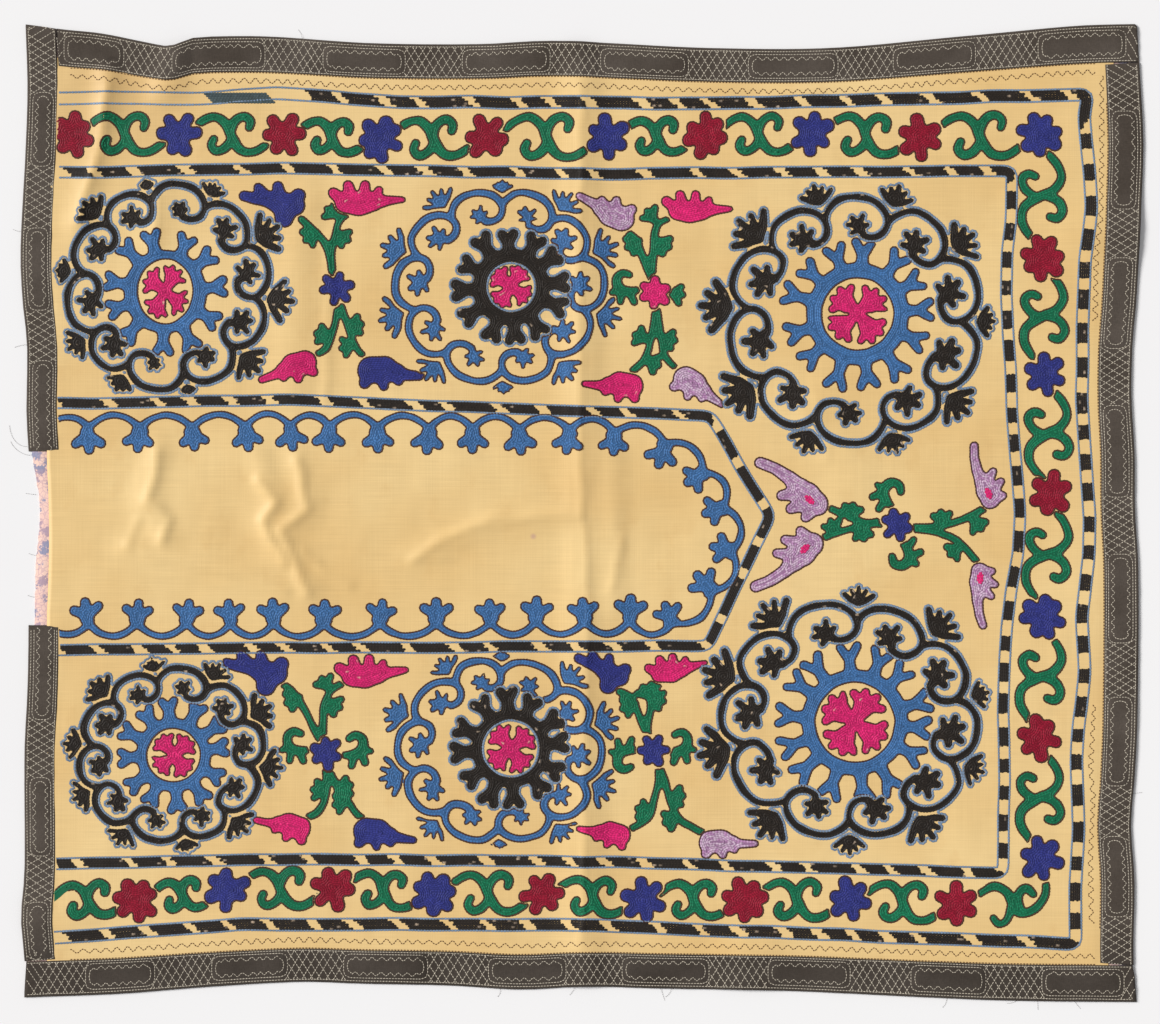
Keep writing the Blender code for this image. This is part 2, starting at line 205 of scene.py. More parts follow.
FORK = (
    ((0.48, 0, 11.5), (0.62, 0, 7.6), (0.76, 0, 6.0)),
    ((0.75, 0, 5.2), (0.84, 0.05, 5.2), (0.93, 0.105, 5.0)),
    ((0.75, 0, 5.2), (0.84, -0.05, 5.2), (0.93, -0.105, 5.0)),
)

# The flowers on the stems: the tail points along +X and the lobes stand on +Y
CUP = (
    ((-0.34, 0, 0.24), (-0.05, -0.04, 0.27), (0.25, 0, 0.22), (0.46, 0.01, 0.15)),
    ((0.44, 0.01, 0.14), (0.88, 0.03, 0.075)),
    ((-0.42, 0.06, 0.15), (-0.60, 0.20, 0.13)),
    ((-0.22, 0.14, 0.14), (-0.28, 0.35, 0.125)),
    ((0.06, 0.14, 0.14), (0.08, 0.35, 0.12)),
    ((0.30, 0.08, 0.12), (0.38, 0.23, 0.10)),
)
HAND = (
    ((-0.22, 0.08, 0.23), (0.10, 0.05, 0.25), (0.35, 0.08, 0.19)),
    ((-0.05, 0, 0.30), (-0.06, -0.24, 0.21)),
    ((0.40, 0.05, 0.15), (0.65, 0.03, 0.13), (0.88, 0.03, 0.12)),
    ((0.38, 0.10, 0.13), (0.62, 0.27, 0.115)),
    ((0.12, 0.20, 0.13), (0.22, 0.38, 0.12)),
    ((-0.20, 0.15, 0.18), (-0.26, 0.30, 0.16)),
)
DROP = (
    ((-0.15, 0.04, 0.28), (0.10, 0, 0.28), (0.35, 0.02, 0.19)),
    ((0.38, 0.03, 0.15), (0.62, 0.02, 0.11), (0.88, 0, 0.085)),
    ((-0.18, 0.20, 0.14), (-0.24, 0.32, 0.12)),
    ((0.08, 0.20, 0.13), (0.14, 0.32, 0.10)),
    ((0.32, 0.10, 0.12), (0.42, 0.18, 0.09)),
)
LONG = (
    ((-0.26, 0, 0.22), (-0.05, 0.02, 0.27), (0.16, 0, 0.20)),
    ((0.10, 0, 0.20), (0.40, -0.03, 0.13), (0.72, 0.02, 0.11), (0.98, 0.12, 0.105)),
    ((-0.28, 0.06, 0.15), (-0.28, 0.30, 0.10)),
    ((-0.12, 0.10, 0.15), (0.02, 0.37, 0.10)),
    ((0.10, 0.06, 0.14), (0.30, 0.30, 0.095)),
)
HEART = (((-0.12, 0.02, 0.14),),)
HEART_ROWS = ((-2.4, 3.5), (-0.8, 6.0), (0.8, 6.5), (2.4, 4.0))
LEAF = (
    ((-3, 0, 3.8), (4, 3, 4.4), (9.5, 8.5, 4.2)),
    ((-3, 0, 3.8), (4, -3, 4.4), (9, -9, 4.2)),
    ((0, 0, 4.0), (12, 0, 4.2)),
)
HOOK = (
    ((-9, 0, 3.4), (3, 1, 4.0), (12, 3, 5.5), (23, 1, 6.2), (27, -10, 5.4), (21, -17, 4.8), (13, -15, 4.4)),
    ((22, 3, 4.6), (23, 14, 4.4)),
    ((14, 3, 4.6), (8, 14, 4.2)),
    ((25, 1, 4.2), (32, 4, 3.8)),
)
VINE_LEAF = (
    ((0, 0, 4.4), (11, 0, 7.6)),
    ((8, 1, 5.6), (15, 13, 5.4)),
    ((10, 0, 5.6), (22, 1, 5.6)),
    ((8, -1, 5.6), (16.5, -12.5, 5.2)),
)
SCROLL = (
    ((-0.95, -0.04, 4.4), (-0.70, 0.12, 4.6), (-0.50, 0.27, 4.9), (-0.28, 0.33, 5.2), (-0.09, 0.19, 5.6),
     (0.01, -0.04, 6.0), (0.18, -0.29, 5.5), (0.42, -0.32, 5.2), (0.66, -0.18, 4.8), (0.95, 0.02, 4.4)),
    ((-0.02, 0.02, 5.0), (0.07, 0.25, 5.2), (0.24, 0.34, 5.2), (0.37, 0.25, 5.0), (0.34, 0.13, 5.0)),
    ((0.02, -0.06, 5.0), (-0.10, -0.24, 5.2), (-0.27, -0.31, 5.2), (-0.37, -0.20, 5.0), (-0.32, -0.09, 5.0)),
)
SCROLL_SIZE = 57.0
SCROLL_LIMIT = 66.0
FIRST_SCROLL = (-528, -414, 4, 52)
FLOWER_SIZE = 25.0
CENTRE_SIZE = 19.0

# The last stretch of the border's vine, round the lower right corner
CORNER = (
    ((495, -388, 4.4), (496, -408, 4.8), (484, -424, 5.2), (468, -428, 5.2), (460, -416, 5.4),
     (454, -405, 5.2), (441, -399, 5.0), (427, -406, 4.6), (416, -412, 4.4)),
    ((470, -426, 4.6), (467, -409, 4.8), (475, -401, 4.8), (483, -408, 4.6)),
    ((460, -418, 4.8), (455, -435, 4.8), (446, -440, 4.6), (440, -433, 4.6)),
)

# Flowers of the border, in the order that the vine runs through them
TOP_FLOWERS = (
    (-546, 405), (-432, 405), (-319, 405), (-216, 400), (-102, 402), (27, 402), (133, 404), (246, 406),
    (362, 402), (490, 405),
)
RIGHT_FLOWERS = ((493, 273), (495, 148), (502, 21), (493, -111), (488, -241), (491, -369))
BOTTOM_FLOWERS = (
    (-476, -414), (-379, -403), (-266, -401), (-158, -407), (-42, -407), (66, -414), (174, -414), (287, -414),
    (400, -419),
)

# Places in a spray are counted from its middle. A tulip's tail is the direction that it points in, and the
# numbers of a leaf and a hook are a place, a direction and, for a hook, the side that it curls to.
Tulip = namedtuple("Tulip", "colour x y tail size side shape")
Spray = namedtuple("Spray", "x y centre tulips stems leaves hooks")
SPRAYS = (
    Spray(-262, 241, "indigo", (
        Tulip("indigo", -57, 87, 167, 50, -1, HAND), Tulip("pink", 26, 92, 1, 50, 1, CUP),
        Tulip("pink", -42, -81, 204, 48, 1, DROP), Tulip("indigo", 45, -87, -9, 54, -1, DROP),
    ), (
        ((-4, 12), (-9, 38), (-16, 52), (-27, 63), (-38, 73)),
        ((-4, 12), (-6, 38), (-2, 56), (2, 71), (12, 80)),
        ((2, -12), (-1, -31), (-4, -46), (-12, -65), (-26, -73)),
        ((2, -12), (7, -28), (13, -46), (21, -65), (34, -78)),
    ), ((-24, 58, 222), (1, 57, -32), (-1, 78, 150), (-10, -52, 160), (14, -41, 12), (16, -61, 200)), ()),
    Spray(78, 236, "pink", (
        Tulip("lilac", -43, 81, 150, 50, -1, DROP), Tulip("pink", 40, 88, 0, 46, 1, CUP),
        Tulip("pink", -33, -98, 180, 48, 1, DROP), Tulip("lilac", 39, -95, -37, 48, -1, DROP),
    ), (
        ((-2, 12), (-13, 38), (-19, 55), (-32, 68)),
        ((-2, 12), (-2, 45), (2, 71), (14, 79)),
        ((1, -12), (-2, -40), (-7, -61), (-13, -74), (-24, -84)),
        ((1, -12), (6, -45), (10, -66), (20, -79), (28, -84)),
    ), ((-19, 54, 212), (4, 54, -30), (-1, 78, 128), (-10, -50, 158), (-7, -73, -22), (9, -50, -8),
        (18, -1, -4)),
       ((-14, 4, 180, 1),)),
    Spray(-274, -256, "indigo", (
        Tulip("indigo", -64, 83, 165, 50, -1, HAND), Tulip("pink", 44, 83, 5, 48, 1, CUP),
        Tulip("pink", -35, -78, 172, 46, 1, DROP), Tulip("indigo", 51, -84, -13, 50, -1, DROP),
    ), (
        ((-4, 10), (-13, 26), (-23, 46), (-37, 67), (-48, 74)),
        ((-3, 10), (-3, 43), (2, 61), (10, 70), (26, 77)),
        ((0, -12), (1, -36), (-2, -53), (-10, -65), (-22, -70)),
        ((0, -12), (10, -33), (22, -50), (32, -65), (40, -72)),
    ), ((-31, 58, 208), (4, 53, -25), (2, 69, 118), (-2, -42, 165), (15, -39, 15), (21, -53, 200)),
       ((-15, 4, 176, 1), (16, -3, 15, -1))),
    Spray(76, -254, "indigo", (
        Tulip("indigo", -46, 80, 153, 44, -1, HAND), Tulip("pink", 21, 85, 12, 41, 1, CUP),
        Tulip("pink", -42, -88, 173, 43, 1, DROP), Tulip("lilac", 69, -97, -4, 46, -1, DROP),
    ), (
        ((-4, 10), (-12, 29), (-18, 46), (-25, 58), (-36, 63)),
        ((-4, 10), (-6, 28), (-3, 43), (-2, 58), (8, 73)),
        ((4, -10), (6, -32), (1, -52), (-6, -73), (-28, -86)),
        ((4, -10), (12, -32), (18, -52), (27, -72), (40, -81), (56, -90)),
    ), ((-21, 49, 198), (0, 56, -15), (-4, 58, 120), (-5, -66, 162), (20, -50, 4), (24, -72, 205)),
       ((-13, -1, 188, -1), (12, 0, 8, -1))),
    Spray(337, -12, "indigo", (
        Tulip("lilac", -98, 32, 138, 60, 1, LONG), Tulip("lilac", -103, -32, 223, 60, -1, LONG),
        Tulip("lilac", 95, 38, 112, 48, -1, LONG), Tulip("lilac", 88, -63, 268, 46, 1, LONG),
    ), (
        ((-12, 4), (-34, 1), (-52, 9), (-74, 18)),
        ((-30, 0), (-60, -8), (-89, -18)),
        ((12, -3), (40, -3), (71, 5), (95, 18)),
        ((20, -5), (40, -8), (64, -17), (82, -36), (90, -47)),
    ), ((-50, 9, 82), (-39, -4, -75), (-67, -8, 108), (49, 1, 95), (82, 4, -52), (66, -25, 216)),
       ((-3, 16, 118, 1), (2, -16, -62, 1))),
)

# Crossings of the niche's vine, and how far each arc swings out to the next one
VINE = (
    (-558, 101), (-528, 91), (-473, 91), (-417, 91), (-360, 92), (-312, 93), (-270, 92), (-219, 91),
    (-164, 90), (-117, 90), (-67, 89), (-13, 88), (35, 86), (89, 74), (130, 44), (152, 6), (161, -41),
    (139, -84), (97, -118), (51, -115), (3, -116), (-49, -116), (-98, -117), (-156, -118), (-216, -118),
    (-276, -119), (-330, -118), (-376, -118), (-423, -118), (-476, -118), (-528, -118), (-560, -128),
)
VINE_SWING = 0.30
VINE_DEPTH = 14.0
VINE_HALF = 4.0

# Mid-lines of the barred bands, and the stretch along X that has no black bars
Band = namedtuple("Band", "line half bare")
BANDS = (
    Band((
        (-561, 444), (-409, 444), (-326, 449), (-195, 440), (19, 439), (126, 438), (340, 443),
        (541, 448), (537, 425), (543, 363), (545, 327), (538, 271), (535, 198), (535, 121), (539, 60),
        (543, -6), (542, -46), (535, -110), (538, -169), (532, -224), (529, -267), (531, -338),
        (527, -402), (528, -461), (270, -451), (9, -441), (-312, -440), (-366, -440), (-564, -454),
    ), 6.4, (-600, -305)),
    Band((
        (-559, 364), (-323, 369), (19, 363), (460, 366), (459, 314), (455, 278), (454, 235), (455, 195),
        (459, 158), (460, 109), (466, 35), (468, 0), (467, -43), (460, -80), (455, -120), (452, -156),
        (450, -212), (452, -288), (450, -385), (9, -373), (-302, -370), (-567, -375),
    ), 5.8, ()),
    Band((
        (-562, 117), (-312, 121), (-2, 109), (137, 104), (201, -4), (135, -142), (9, -143), (-312, -144),
        (-562, -147),
    ), 5.6, ()),
)
BAR_SLANT = -1.05
BAR_ROW_HALF = 1.5
TEAL_BAR = (-400, -333, 444)

# Creases that are sharper than the folds of the solids: a line, its height and its spread
CREASES = (
    (((-454, 67), (-459, 35), (-468, 9), (-455, 3), (-441, -7), (-448, -29)), 1.3, 7),
    (((-487, -36), (-430, -52), (-366, -64), (-316, -82)), 1.0, 8),
    (((-347, 35), (-326, 12), (-341, -7), (-331, -32), (-318, -53)), 1.6, 7),
    (((-305, 57), (-298, 32), (-294, 3), (-323, -18), (-312, -43), (-294, -86)), 1.5, 7),
    (((-299, -42), (-273, -64), (-248, -77)), 0.9, 8),
    (((-181, -50), (-152, -29), (-98, -7), (-2, -2)), 1.2, 7),
    (((-475, -7), (-487, -36)), 0.7, 7),
    (((0, 480), (-3, 250), (-2, 57), (6, -82), (2, -300), (0, -470)), 0.8, 5),
    (((44, -26), (30, -82)), 0.8, 6),
    (((-506, 460), (-514, 400), (-538, 312)), 1.2, 6),
    (((-268, 300), (-272, 180), (-275, 120)), 0.8, 9),
    (((-452, 340), (-458, 290)), 0.7, 7),
    (((250, 122), (262, 60)), 0.5, 8),
)

# Darker, browner patches on the silk and one small mauve stain: a place, where each is strongest and where it
# ends, its strength and its colour
SILK_PATCHES = (
    (-500, 462, 12, 110, 0.45, (0.560, 0.340, 0.130)),
    (-560, 400, 5, 60, 0.35, (0.600, 0.370, 0.140)),
    (-52, -25, 1.2, 4.0, 0.45, (0.420, 0.220, 0.260)),
    (3, 30, 4, 60, 0.22, (0.640, 0.400, 0.160)),
    (560, -200, 4, 90, 0.22, (0.640, 0.400, 0.160)),
)

SILK_PATCH_LEVEL = 0.003

COLOURS = {
    "red": (0.305, 0.008, 0.030),
    "indigo": (0.034, 0.041, 0.230),
    "blue": (0.062, 0.178, 0.410),
    "pink": (0.740, 0.020, 0.170),
    "lilac": (0.470, 0.240, 0.440),
    "green": (0.008, 0.185, 0.085),
    "black": (0.024, 0.018, 0.014),
    "brown": (0.075, 0.030, 0.018),
    "pale_blue": (0.195, 0.270, 0.380),
    "teal": (0.070, 0.098, 0.104),
}
WORN_THREAD = (0.72, 0.55, 0.40)
WORN_LILAC = (0.78, 0.66, 0.74)
BROWN_MACHINE = (0.130, 0.060, 0.024)
CREAM_MACHINE = (0.56, 0.50, 0.40)
LOOSE_THREAD = (0.20, 0.18, 0.17)

# Slot names of the threads, which build takes but does not use; the teal thread has none, because the
# imported record names none for it
SLOTS = {name: name + "_thread" for name in COLOURS if name != "teal"}


def blended(table, j, i, b, a):
    """A table's value b of the way on from row j and a of the way on from column i."""
    low = (1 - a) * table[j, i] + a * table[j, i + 1]
    high = (1 - a) * table[j + 1, i] + a * table[j + 1, i + 1]
    return (1 - b) * low + b * high


def soft_noise(x, y, cell_x, cell_y, seed):
    """Smooth random values from -1 to 1 that change over cells of that size."""
    side = 512
    table = np.random.default_rng(seed).uniform(-1, 1, (side, side))
    table = np.pad(table, (0, 1), mode="wrap")
    u, v = np.asarray(x) / cell_x, np.asarray(y) / cell_y
    i, j = np.floor(u).astype(int), np.floor(v).astype(int)
    a, b = u - i, v - j
    return blended(table, j % side, i % side, b * b * (3 - 2 * b), a * a * (3 - 2 * a))


def line_noise(places, cell, seed):
    """Smooth random values from -1 to 1 along a line."""
    return soft_noise(places, 0 * places, cell, 1, seed)


def lengths_along(line):
    """How far along a line each of its points is, seen from above."""
    return np.concatenate([[0], np.cumsum(np.hypot(*np.diff(line[:, :2], axis=0).T))])


def spots_on(line, along, places):
    """The points of a line at places along it."""
    return np.column_stack([np.interp(places, along, column) for column in line.T])


def left_of(ways):
    """A step of length 1 to the left of each direction."""
    ways = ways / np.maximum(np.hypot(*ways.T), 1e-6)[:, None]
    return np.column_stack([-ways[:, 1], ways[:, 0]])


def aim(start, end):
    """The direction from one place to another, in degrees."""
    return math.degrees(math.atan2(end[1] - start[1], end[0] - start[0]))


def runs_of(seen):
    """The unbroken runs of three or more places that are seen, as rows of indices."""
    breaks = np.flatnonzero(np.diff(seen.astype(int))) + 1
    return [run for run in np.split(np.arange(len(seen)), breaks) if seen[run[0]] and len(run) >= 3]


def node_mesh(name):
    """A node's points in millimetres and its faces."""
    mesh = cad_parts[name].data
    points = np.empty(len(mesh.vertices) * 3)
    mesh.vertices.foreach_get("co", points)
    return points.reshape(-1, 3) / MM, [tuple(face.vertices) for face in mesh.polygons]


def reach(name, axis, places):
    """How far a node reaches across, to the low and to the high side, at places along an axis."""
    points, faces = node_mesh(name)
    edges = np.array([pair for face in faces for pair in zip(face, face[1:] + face[:1])])
    start, run = points[edges[:, 0]], points[edges[:, 1]] - points[edges[:, 0]]
    low, high = [], []
    for place in places:
        ahead = place - start[:, axis]
        crossing = (ahead * (ahead - run[:, axis]) <= 0) & (abs(run[:, axis]) > 1e-6)
        share = ahead[crossing] / run[crossing, axis]
        across = start[crossing, 1 - axis] + share * run[crossing, 1 - axis]
        low.append(across.min())
        high.append(across.max())
    return np.array(low), np.array(high)


class Surface:
    """Reads the heights of a node's surface."""

    def __init__(self, name):
        points, faces = node_mesh(name)
        self.tree = BVHTree.FromPolygons([tuple(p) for p in points], faces)

    def read(self, x, y, way=-1):
        """Height at a place, seen from above or, with way 1, from below."""
        hit = self.tree.ray_cast(Vector((x, y, -100.0 * way)), Vector((0, 0, way)))[0]
        return math.nan if hit is None else hit.z

    def heights(self, x, y, way=-1):
        """Heights at a raster of places, with the gaps filled."""
        found = [self.read(px, py, way) for px, py in zip(x.ravel(), y.ravel())]
        return filled(np.reshape(found, x.shape))


def filled(field):
    """A raster whose gaps take the mean of what is beside them, step by step."""
    field = field.copy()
    while np.isnan(field).any():
        edged = np.pad(field, 1, constant_values=np.nan)
        beside = np.stack([edged[1:-1, :-2], edged[1:-1, 2:], edged[:-2, 1:-1], edged[2:, 1:-1]])
        known = ~np.isnan(beside)
        mean = np.where(known, beside, 0).sum(0) / np.maximum(known.sum(0), 1)
        gap = np.isnan(field) & known.any(0)
        field[gap] = mean[gap]
    return field


def blurred(field, times):
    for _ in range(times):
        edged = np.pad(field, 1, mode="edge")
        field = (edged[:-2, 1:-1] + edged[2:, 1:-1] + edged[1:-1, :-2] + edged[1:-1, 2:] + 2 * field) / 6
    return field


def nearest(x, y, start, end):
    """How far on along a straight line its place nearest to x, y is, as a share, and how far away."""
    run_x, run_y = end[0] - start[0], end[1] - start[1]
    ahead = (x - start[0]) * run_x + (y - start[1]) * run_y
    share = np.clip(ahead / max(run_x**2 + run_y**2, 1e-9), 0, 1)
    return share, np.hypot(x - start[0] - share * run_x, y - start[1] - share * run_y)


def crease_height(x, y, line, height, spread):
    """A soft ridge along a line."""
    near = np.full(np.shape(x), 1e9)
    for start, end in zip(line, line[1:]):
        near = np.minimum(near, nearest(x, y, start, end)[1])
    return height * np.exp(-((near / spread) ** 2) * 2)


def shown_limits():
    """The inner edges of the binding: what shows of the silk lies between them."""
    low_x, high_x = CAD_LOW[0] / MM + 60, CAD_HIGH[0] / MM - 60
    low_y, high_y = (side[1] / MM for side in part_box("binding_right"))
    along_x, along_y = np.linspace(low_x, high_x, 260), np.linspace(low_y + 5, high_y - 5, 220)
    bottom = reach("binding_bottom", 0, along_x)[1]
    top = reach("binding_top", 0, along_x)[0]
    right = reach("binding_right", 1, along_y)[0]
    left = reach("face_panel", 1, along_y)[0]
    return along_x, along_y, bottom, top, left, right


LIMIT_X, LIMIT_Y, SHOWN_BOTTOM, SHOWN_TOP, SHOWN_LEFT, SHOWN_RIGHT = shown_limits()


class Ground:
    """The top of the silk: the face panel's own height with its creases and ripples, at any place."""

    def __init__(self):
        self.x = np.arange(CAD_LOW[0] / MM, CAD_HIGH[0] / MM, FIELD_PITCH)
        self.y = np.arange(CAD_LOW[1] / MM, CAD_HIGH[1] / MM, FIELD_PITCH)
        x, y = np.meshgrid(self.x, self.y)
        solid = blurred(Surface("face_panel").heights(x, y), 6)
        raster = solid.copy()
        for line, height, spread in CREASES:
            wander = 2.5 * soft_noise(x, y, 24, 24, 5)
            raster += crease_height(x + wander, y + wander, line, 1.5 * height, 0.9 * spread)
        raster += 0.42 * soft_noise(x, y, 46, 70, 1) + 0.22 * soft_noise(x, y, 17, 34, 2)
        raster += 0.10 * soft_noise(x, y, 7, 11, 3)
        inside = np.minimum(
            np.minimum(y - np.interp(x, LIMIT_X, SHOWN_BOTTOM), np.interp(x, LIMIT_X, SHOWN_TOP) - y),
            np.interp(y, LIMIT_Y, SHOWN_RIGHT) - x,
        )
        free = np.clip(inside / 14, 0, 1)
        self.height = solid + free * (raster - solid) - 0.5 * np.clip(1 - inside / 4, 0, 1)

    def read(self, x, y):
        u = np.clip((np.asarray(x) - self.x[0]) / FIELD_PITCH, 0, len(self.x) - 1.001)
        v = np.clip((np.asarray(y) - self.y[0]) / FIELD_PITCH, 0, len(self.y) - 1.001)
        i, j = u.astype(int), v.astype(int)
        return blended(self.height, j, i, v - j, u - i)


ground = Ground()


def add_object(name, data):
    made = bpy.data.objects.new(name, data)
    bpy.context.scene.collection.objects.link(made)
    return made


def build_mesh(name, points, faces, material, shades=None):
    """One object riding on the cloth. points are in millimetres; faces is a list of arrays of corners."""
    mesh = bpy.data.meshes.new(name)
    corners = np.concatenate([np.asarray(group).ravel() for group in faces])
    sizes = np.concatenate([np.full(len(group), np.shape(group)[1]) for group in faces])
    mesh.vertices.add(len(points))
    mesh.vertices.foreach_set("co", (np.asarray(points) * MM).astype(np.float32).ravel())
    mesh.loops.add(len(corners))
    mesh.loops.foreach_set("vertex_index", corners.astype(np.int32))
    mesh.polygons.add(len(sizes))
    mesh.polygons.foreach_set("loop_start", (np.cumsum(sizes) - sizes).astype(np.int32))
    mesh.update(calc_edges=True)
    mesh.shade_smooth()
    if shades is not None:
        layer = mesh.color_attributes.new("stitch", "FLOAT_COLOR", "POINT")
        colours = np.ones((len(points), 4), np.float32)
        colours[:, : shades.shape[1]] = shades
        layer.data.foreach_set("color", colours.ravel())
    mesh.materials.append(material)
    made = add_object(name, mesh)
    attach(made, "root")
    return made


def grid_faces(rows, columns, first=0, closed=False):
    """The quads of a grid of points laid out row by row, closed round each row if asked."""
    j = np.arange(rows - 1)[:, None]
    i = np.arange(columns if closed else columns - 1)[None, :]
    after = (i + 1) % columns
    return first + np.stack(
        [j * columns + i, j * columns + after, (j + 1) * columns + after, (j + 1) * columns + i], -1
    ).reshape(-1, 4)


class Finish:
    """A material in the making."""

    def __init__(self, name, roughness, sheen=0.0, specular=0.3):
        self.material = bpy.data.materials.new(name)
        self.material.use_nodes = True
        self.tree = self.material.node_tree
        self.shader = self.tree.nodes["Principled BSDF"]
        self.shader.inputs["Roughness"].default_value = roughness
        self.shader.inputs["Sheen Weight"].default_value = sheen
        self.shader.inputs["Sheen Roughness"].default_value = 0.4
        self.shader.inputs["Specular IOR Level"].default_value = specular
        self.place = self.node("ShaderNodeTexCoord").outputs["Object"]

    def node(self, kind, inputs=None, **settings):
        made = self.tree.nodes.new(kind)
        for key, value in settings.items():
            setattr(made, key, value)
        for key, value in (inputs or {}).items():
            if isinstance(value, bpy.types.NodeSocket):
                self.tree.links.new(value, made.inputs[key])
            else:
                made.inputs[key].default_value = value
        return made

    def scaled(self, stretch):
        """Places counted in cells of these sizes along X, Y and Z, in millimetres."""
        inputs = {0: self.place, 1: [1 / (MM * size) for size in stretch]}
        return self.node("ShaderNodeVectorMath", inputs, operation="MULTIPLY").outputs[0]

    def noise(self, stretch, detail=2.0, roughness=0.5):
        """Noise whose features have these sizes along X, Y and Z, in millimetres."""
        inputs = {"Vector": self.scaled(stretch), "Scale": 1.0, "Detail": detail, "Roughness": roughness}
        return self.node("ShaderNodeTexNoise", inputs).outputs["Fac"]

    def ramp(self, value, low, high, start=0.0, end=1.0):
        """value taken from low..high to start..end, held at the ends."""
        inputs = {"Value": value, "From Min": low, "From Max": high, "To Min": start, "To Max": end}
        return self.node("ShaderNodeMapRange", inputs).outputs["Result"]

    def mix(self, share, first, second, blend="MIX"):
        """Goes from the first colour to the second one by a share. A colour is a tuple or a socket."""
        first, second = ((*side, 1.0) if isinstance(side, tuple) else side for side in (first, second))
        inputs = {0: share, 6: first, 7: second}
        return self.node("ShaderNodeMix", inputs, data_type="RGBA", blend_type=blend).outputs[2]

    def grey(self, value):
        """A number as a grey colour."""
        return self.node("ShaderNodeCombineColor", {"Red": value, "Green": value, "Blue": value}).outputs[0]

    def shaded(self, base, value, low, high, start, end):
        """The colour base times start to end, where value goes from low to high."""
        return self.mix(1.0, base, self.grey(self.ramp(value, low, high, start, end)), "MULTIPLY")

    def added(self, first, second):
        return self.node("ShaderNodeMath", {0: first, 1: second}, operation="ADD").outputs[0]

    def colour(self, socket):
        self.tree.links.new(socket, self.shader.inputs["Base Color"])

    def bump(self, height, distance, strength=1.0):
        inputs = {"Height": height, "Distance": distance * MM, "Strength": strength}
        self.tree.links.new(self.node("ShaderNodeBump", inputs).outputs[0], self.shader.inputs["Normal"])


def silk_finish():
    finish = Finish("gold_silk", 0.5, sheen=0.12, specular=0.35)
    slub = finish.noise((60, 1.1, 60), 3.0)
    warp = finish.noise((1.0, 90, 60), 2.0)
    cloud = finish.noise((190, 150, 150), 3.0)
    stain = finish.noise((34, 46, 40), 4.0, 0.6)
    base = finish.mix(finish.ramp(cloud, 0.35, 0.65), (0.735, 0.490, 0.200), (0.800, 0.572, 0.260))
    base = finish.mix(finish.ramp(stain, 0.56, 0.74, 0.0, 0.30), base, (0.640, 0.400, 0.150))
    # Broad darker, browner patches at the top left, in the middle and at the right, and a small mauve stain
    for x, y, near, far, share, colour in SILK_PATCHES:
        inputs = {0: finish.place, 1: (x * MM, y * MM, SILK_PATCH_LEVEL)}
        away = finish.node("ShaderNodeVectorMath", inputs, operation="DISTANCE").outputs["Value"]
        base = finish.mix(finish.ramp(away, near * MM, far * MM, share, 0.0), base, colour)
    base = finish.shaded(base, slub, 0.25, 0.75, 0.93, 1.05)
    finish.colour(finish.shaded(base, warp, 0.25, 0.75, 0.97, 1.03))
    finish.bump(finish.added(slub, warp), 0.12, 0.6)
    return finish.material


def cotton_finish():
    finish = Finish("dark_cotton", 0.85, sheen=0.10, specular=0.2)
    weft = finish.noise((3.5, 0.6, 3), 1.0)
    warp = finish.noise((0.6, 3.5, 3), 1.0)
    weave = finish.added(weft, warp)
    cloud = finish.noise((70, 60, 60), 3.0)
    height = finish.node("ShaderNodeSeparateXYZ", {"Vector": finish.place}).outputs["Y"]
    base = finish.mix(finish.ramp(cloud, 0.35, 0.68), (0.058, 0.045, 0.035), (0.088, 0.071, 0.058))
    # Darker towards the bottom: down to 0.74 times as bright along the bottom strip
    base = finish.shaded(base, height, -0.475, -0.435, 0.74, 1.0)
    finish.colour(finish.shaded(base, weave, 0.7, 1.3, 0.84, 1.14))
    finish.bump(weave, 0.18, 0.7)
    return finish.material


def print_finish():
    finish = Finish("printed_cotton", 0.9, sheen=0.05, specular=0.15)
    cells = finish.scaled((13, 13, 13))
    spots = finish.node("ShaderNodeTexVoronoi", {"Vector": cells, "Scale": 1.0}).outputs["Distance"]
    veins = finish.node(
        "ShaderNodeTexVoronoi", {"Vector": cells, "Scale": 2.3}, feature="DISTANCE_TO_EDGE"
    ).outputs["Distance"]
    patches = finish.noise((36, 30, 30), 2.0)
    frayed = finish.noise((2.2, 2.2, 2.2), 3.0)
    weave = finish.noise((0.6, 2.4, 2), 1.0)
    spotted = finish.added(spots, finish.ramp(frayed, 0.3, 0.7, -0.2, 0.2))
    cloud = finish.noise((60, 60, 60))
    base = finish.mix(finish.ramp(cloud, 0.3, 0.7), (0.76, 0.54, 0.45), (0.70, 0.47, 0.41))
    base = finish.mix(finish.ramp(veins, 0.10, 0.04, 0.0, 0.55), base, (0.45, 0.30, 0.34))
    leaf = finish.mix(finish.ramp(patches, 0.44, 0.54), (0.30, 0.22, 0.30), (0.14, 0.19, 0.33))
    base = finish.mix(finish.ramp(spotted, 0.50, 0.38, 0.0, 0.80), base, leaf)
    finish.colour(finish.shaded(base, weave, 0.3, 0.7, 0.92, 1.06))
    finish.bump(weave, 0.12, 0.6)
    return finish.material


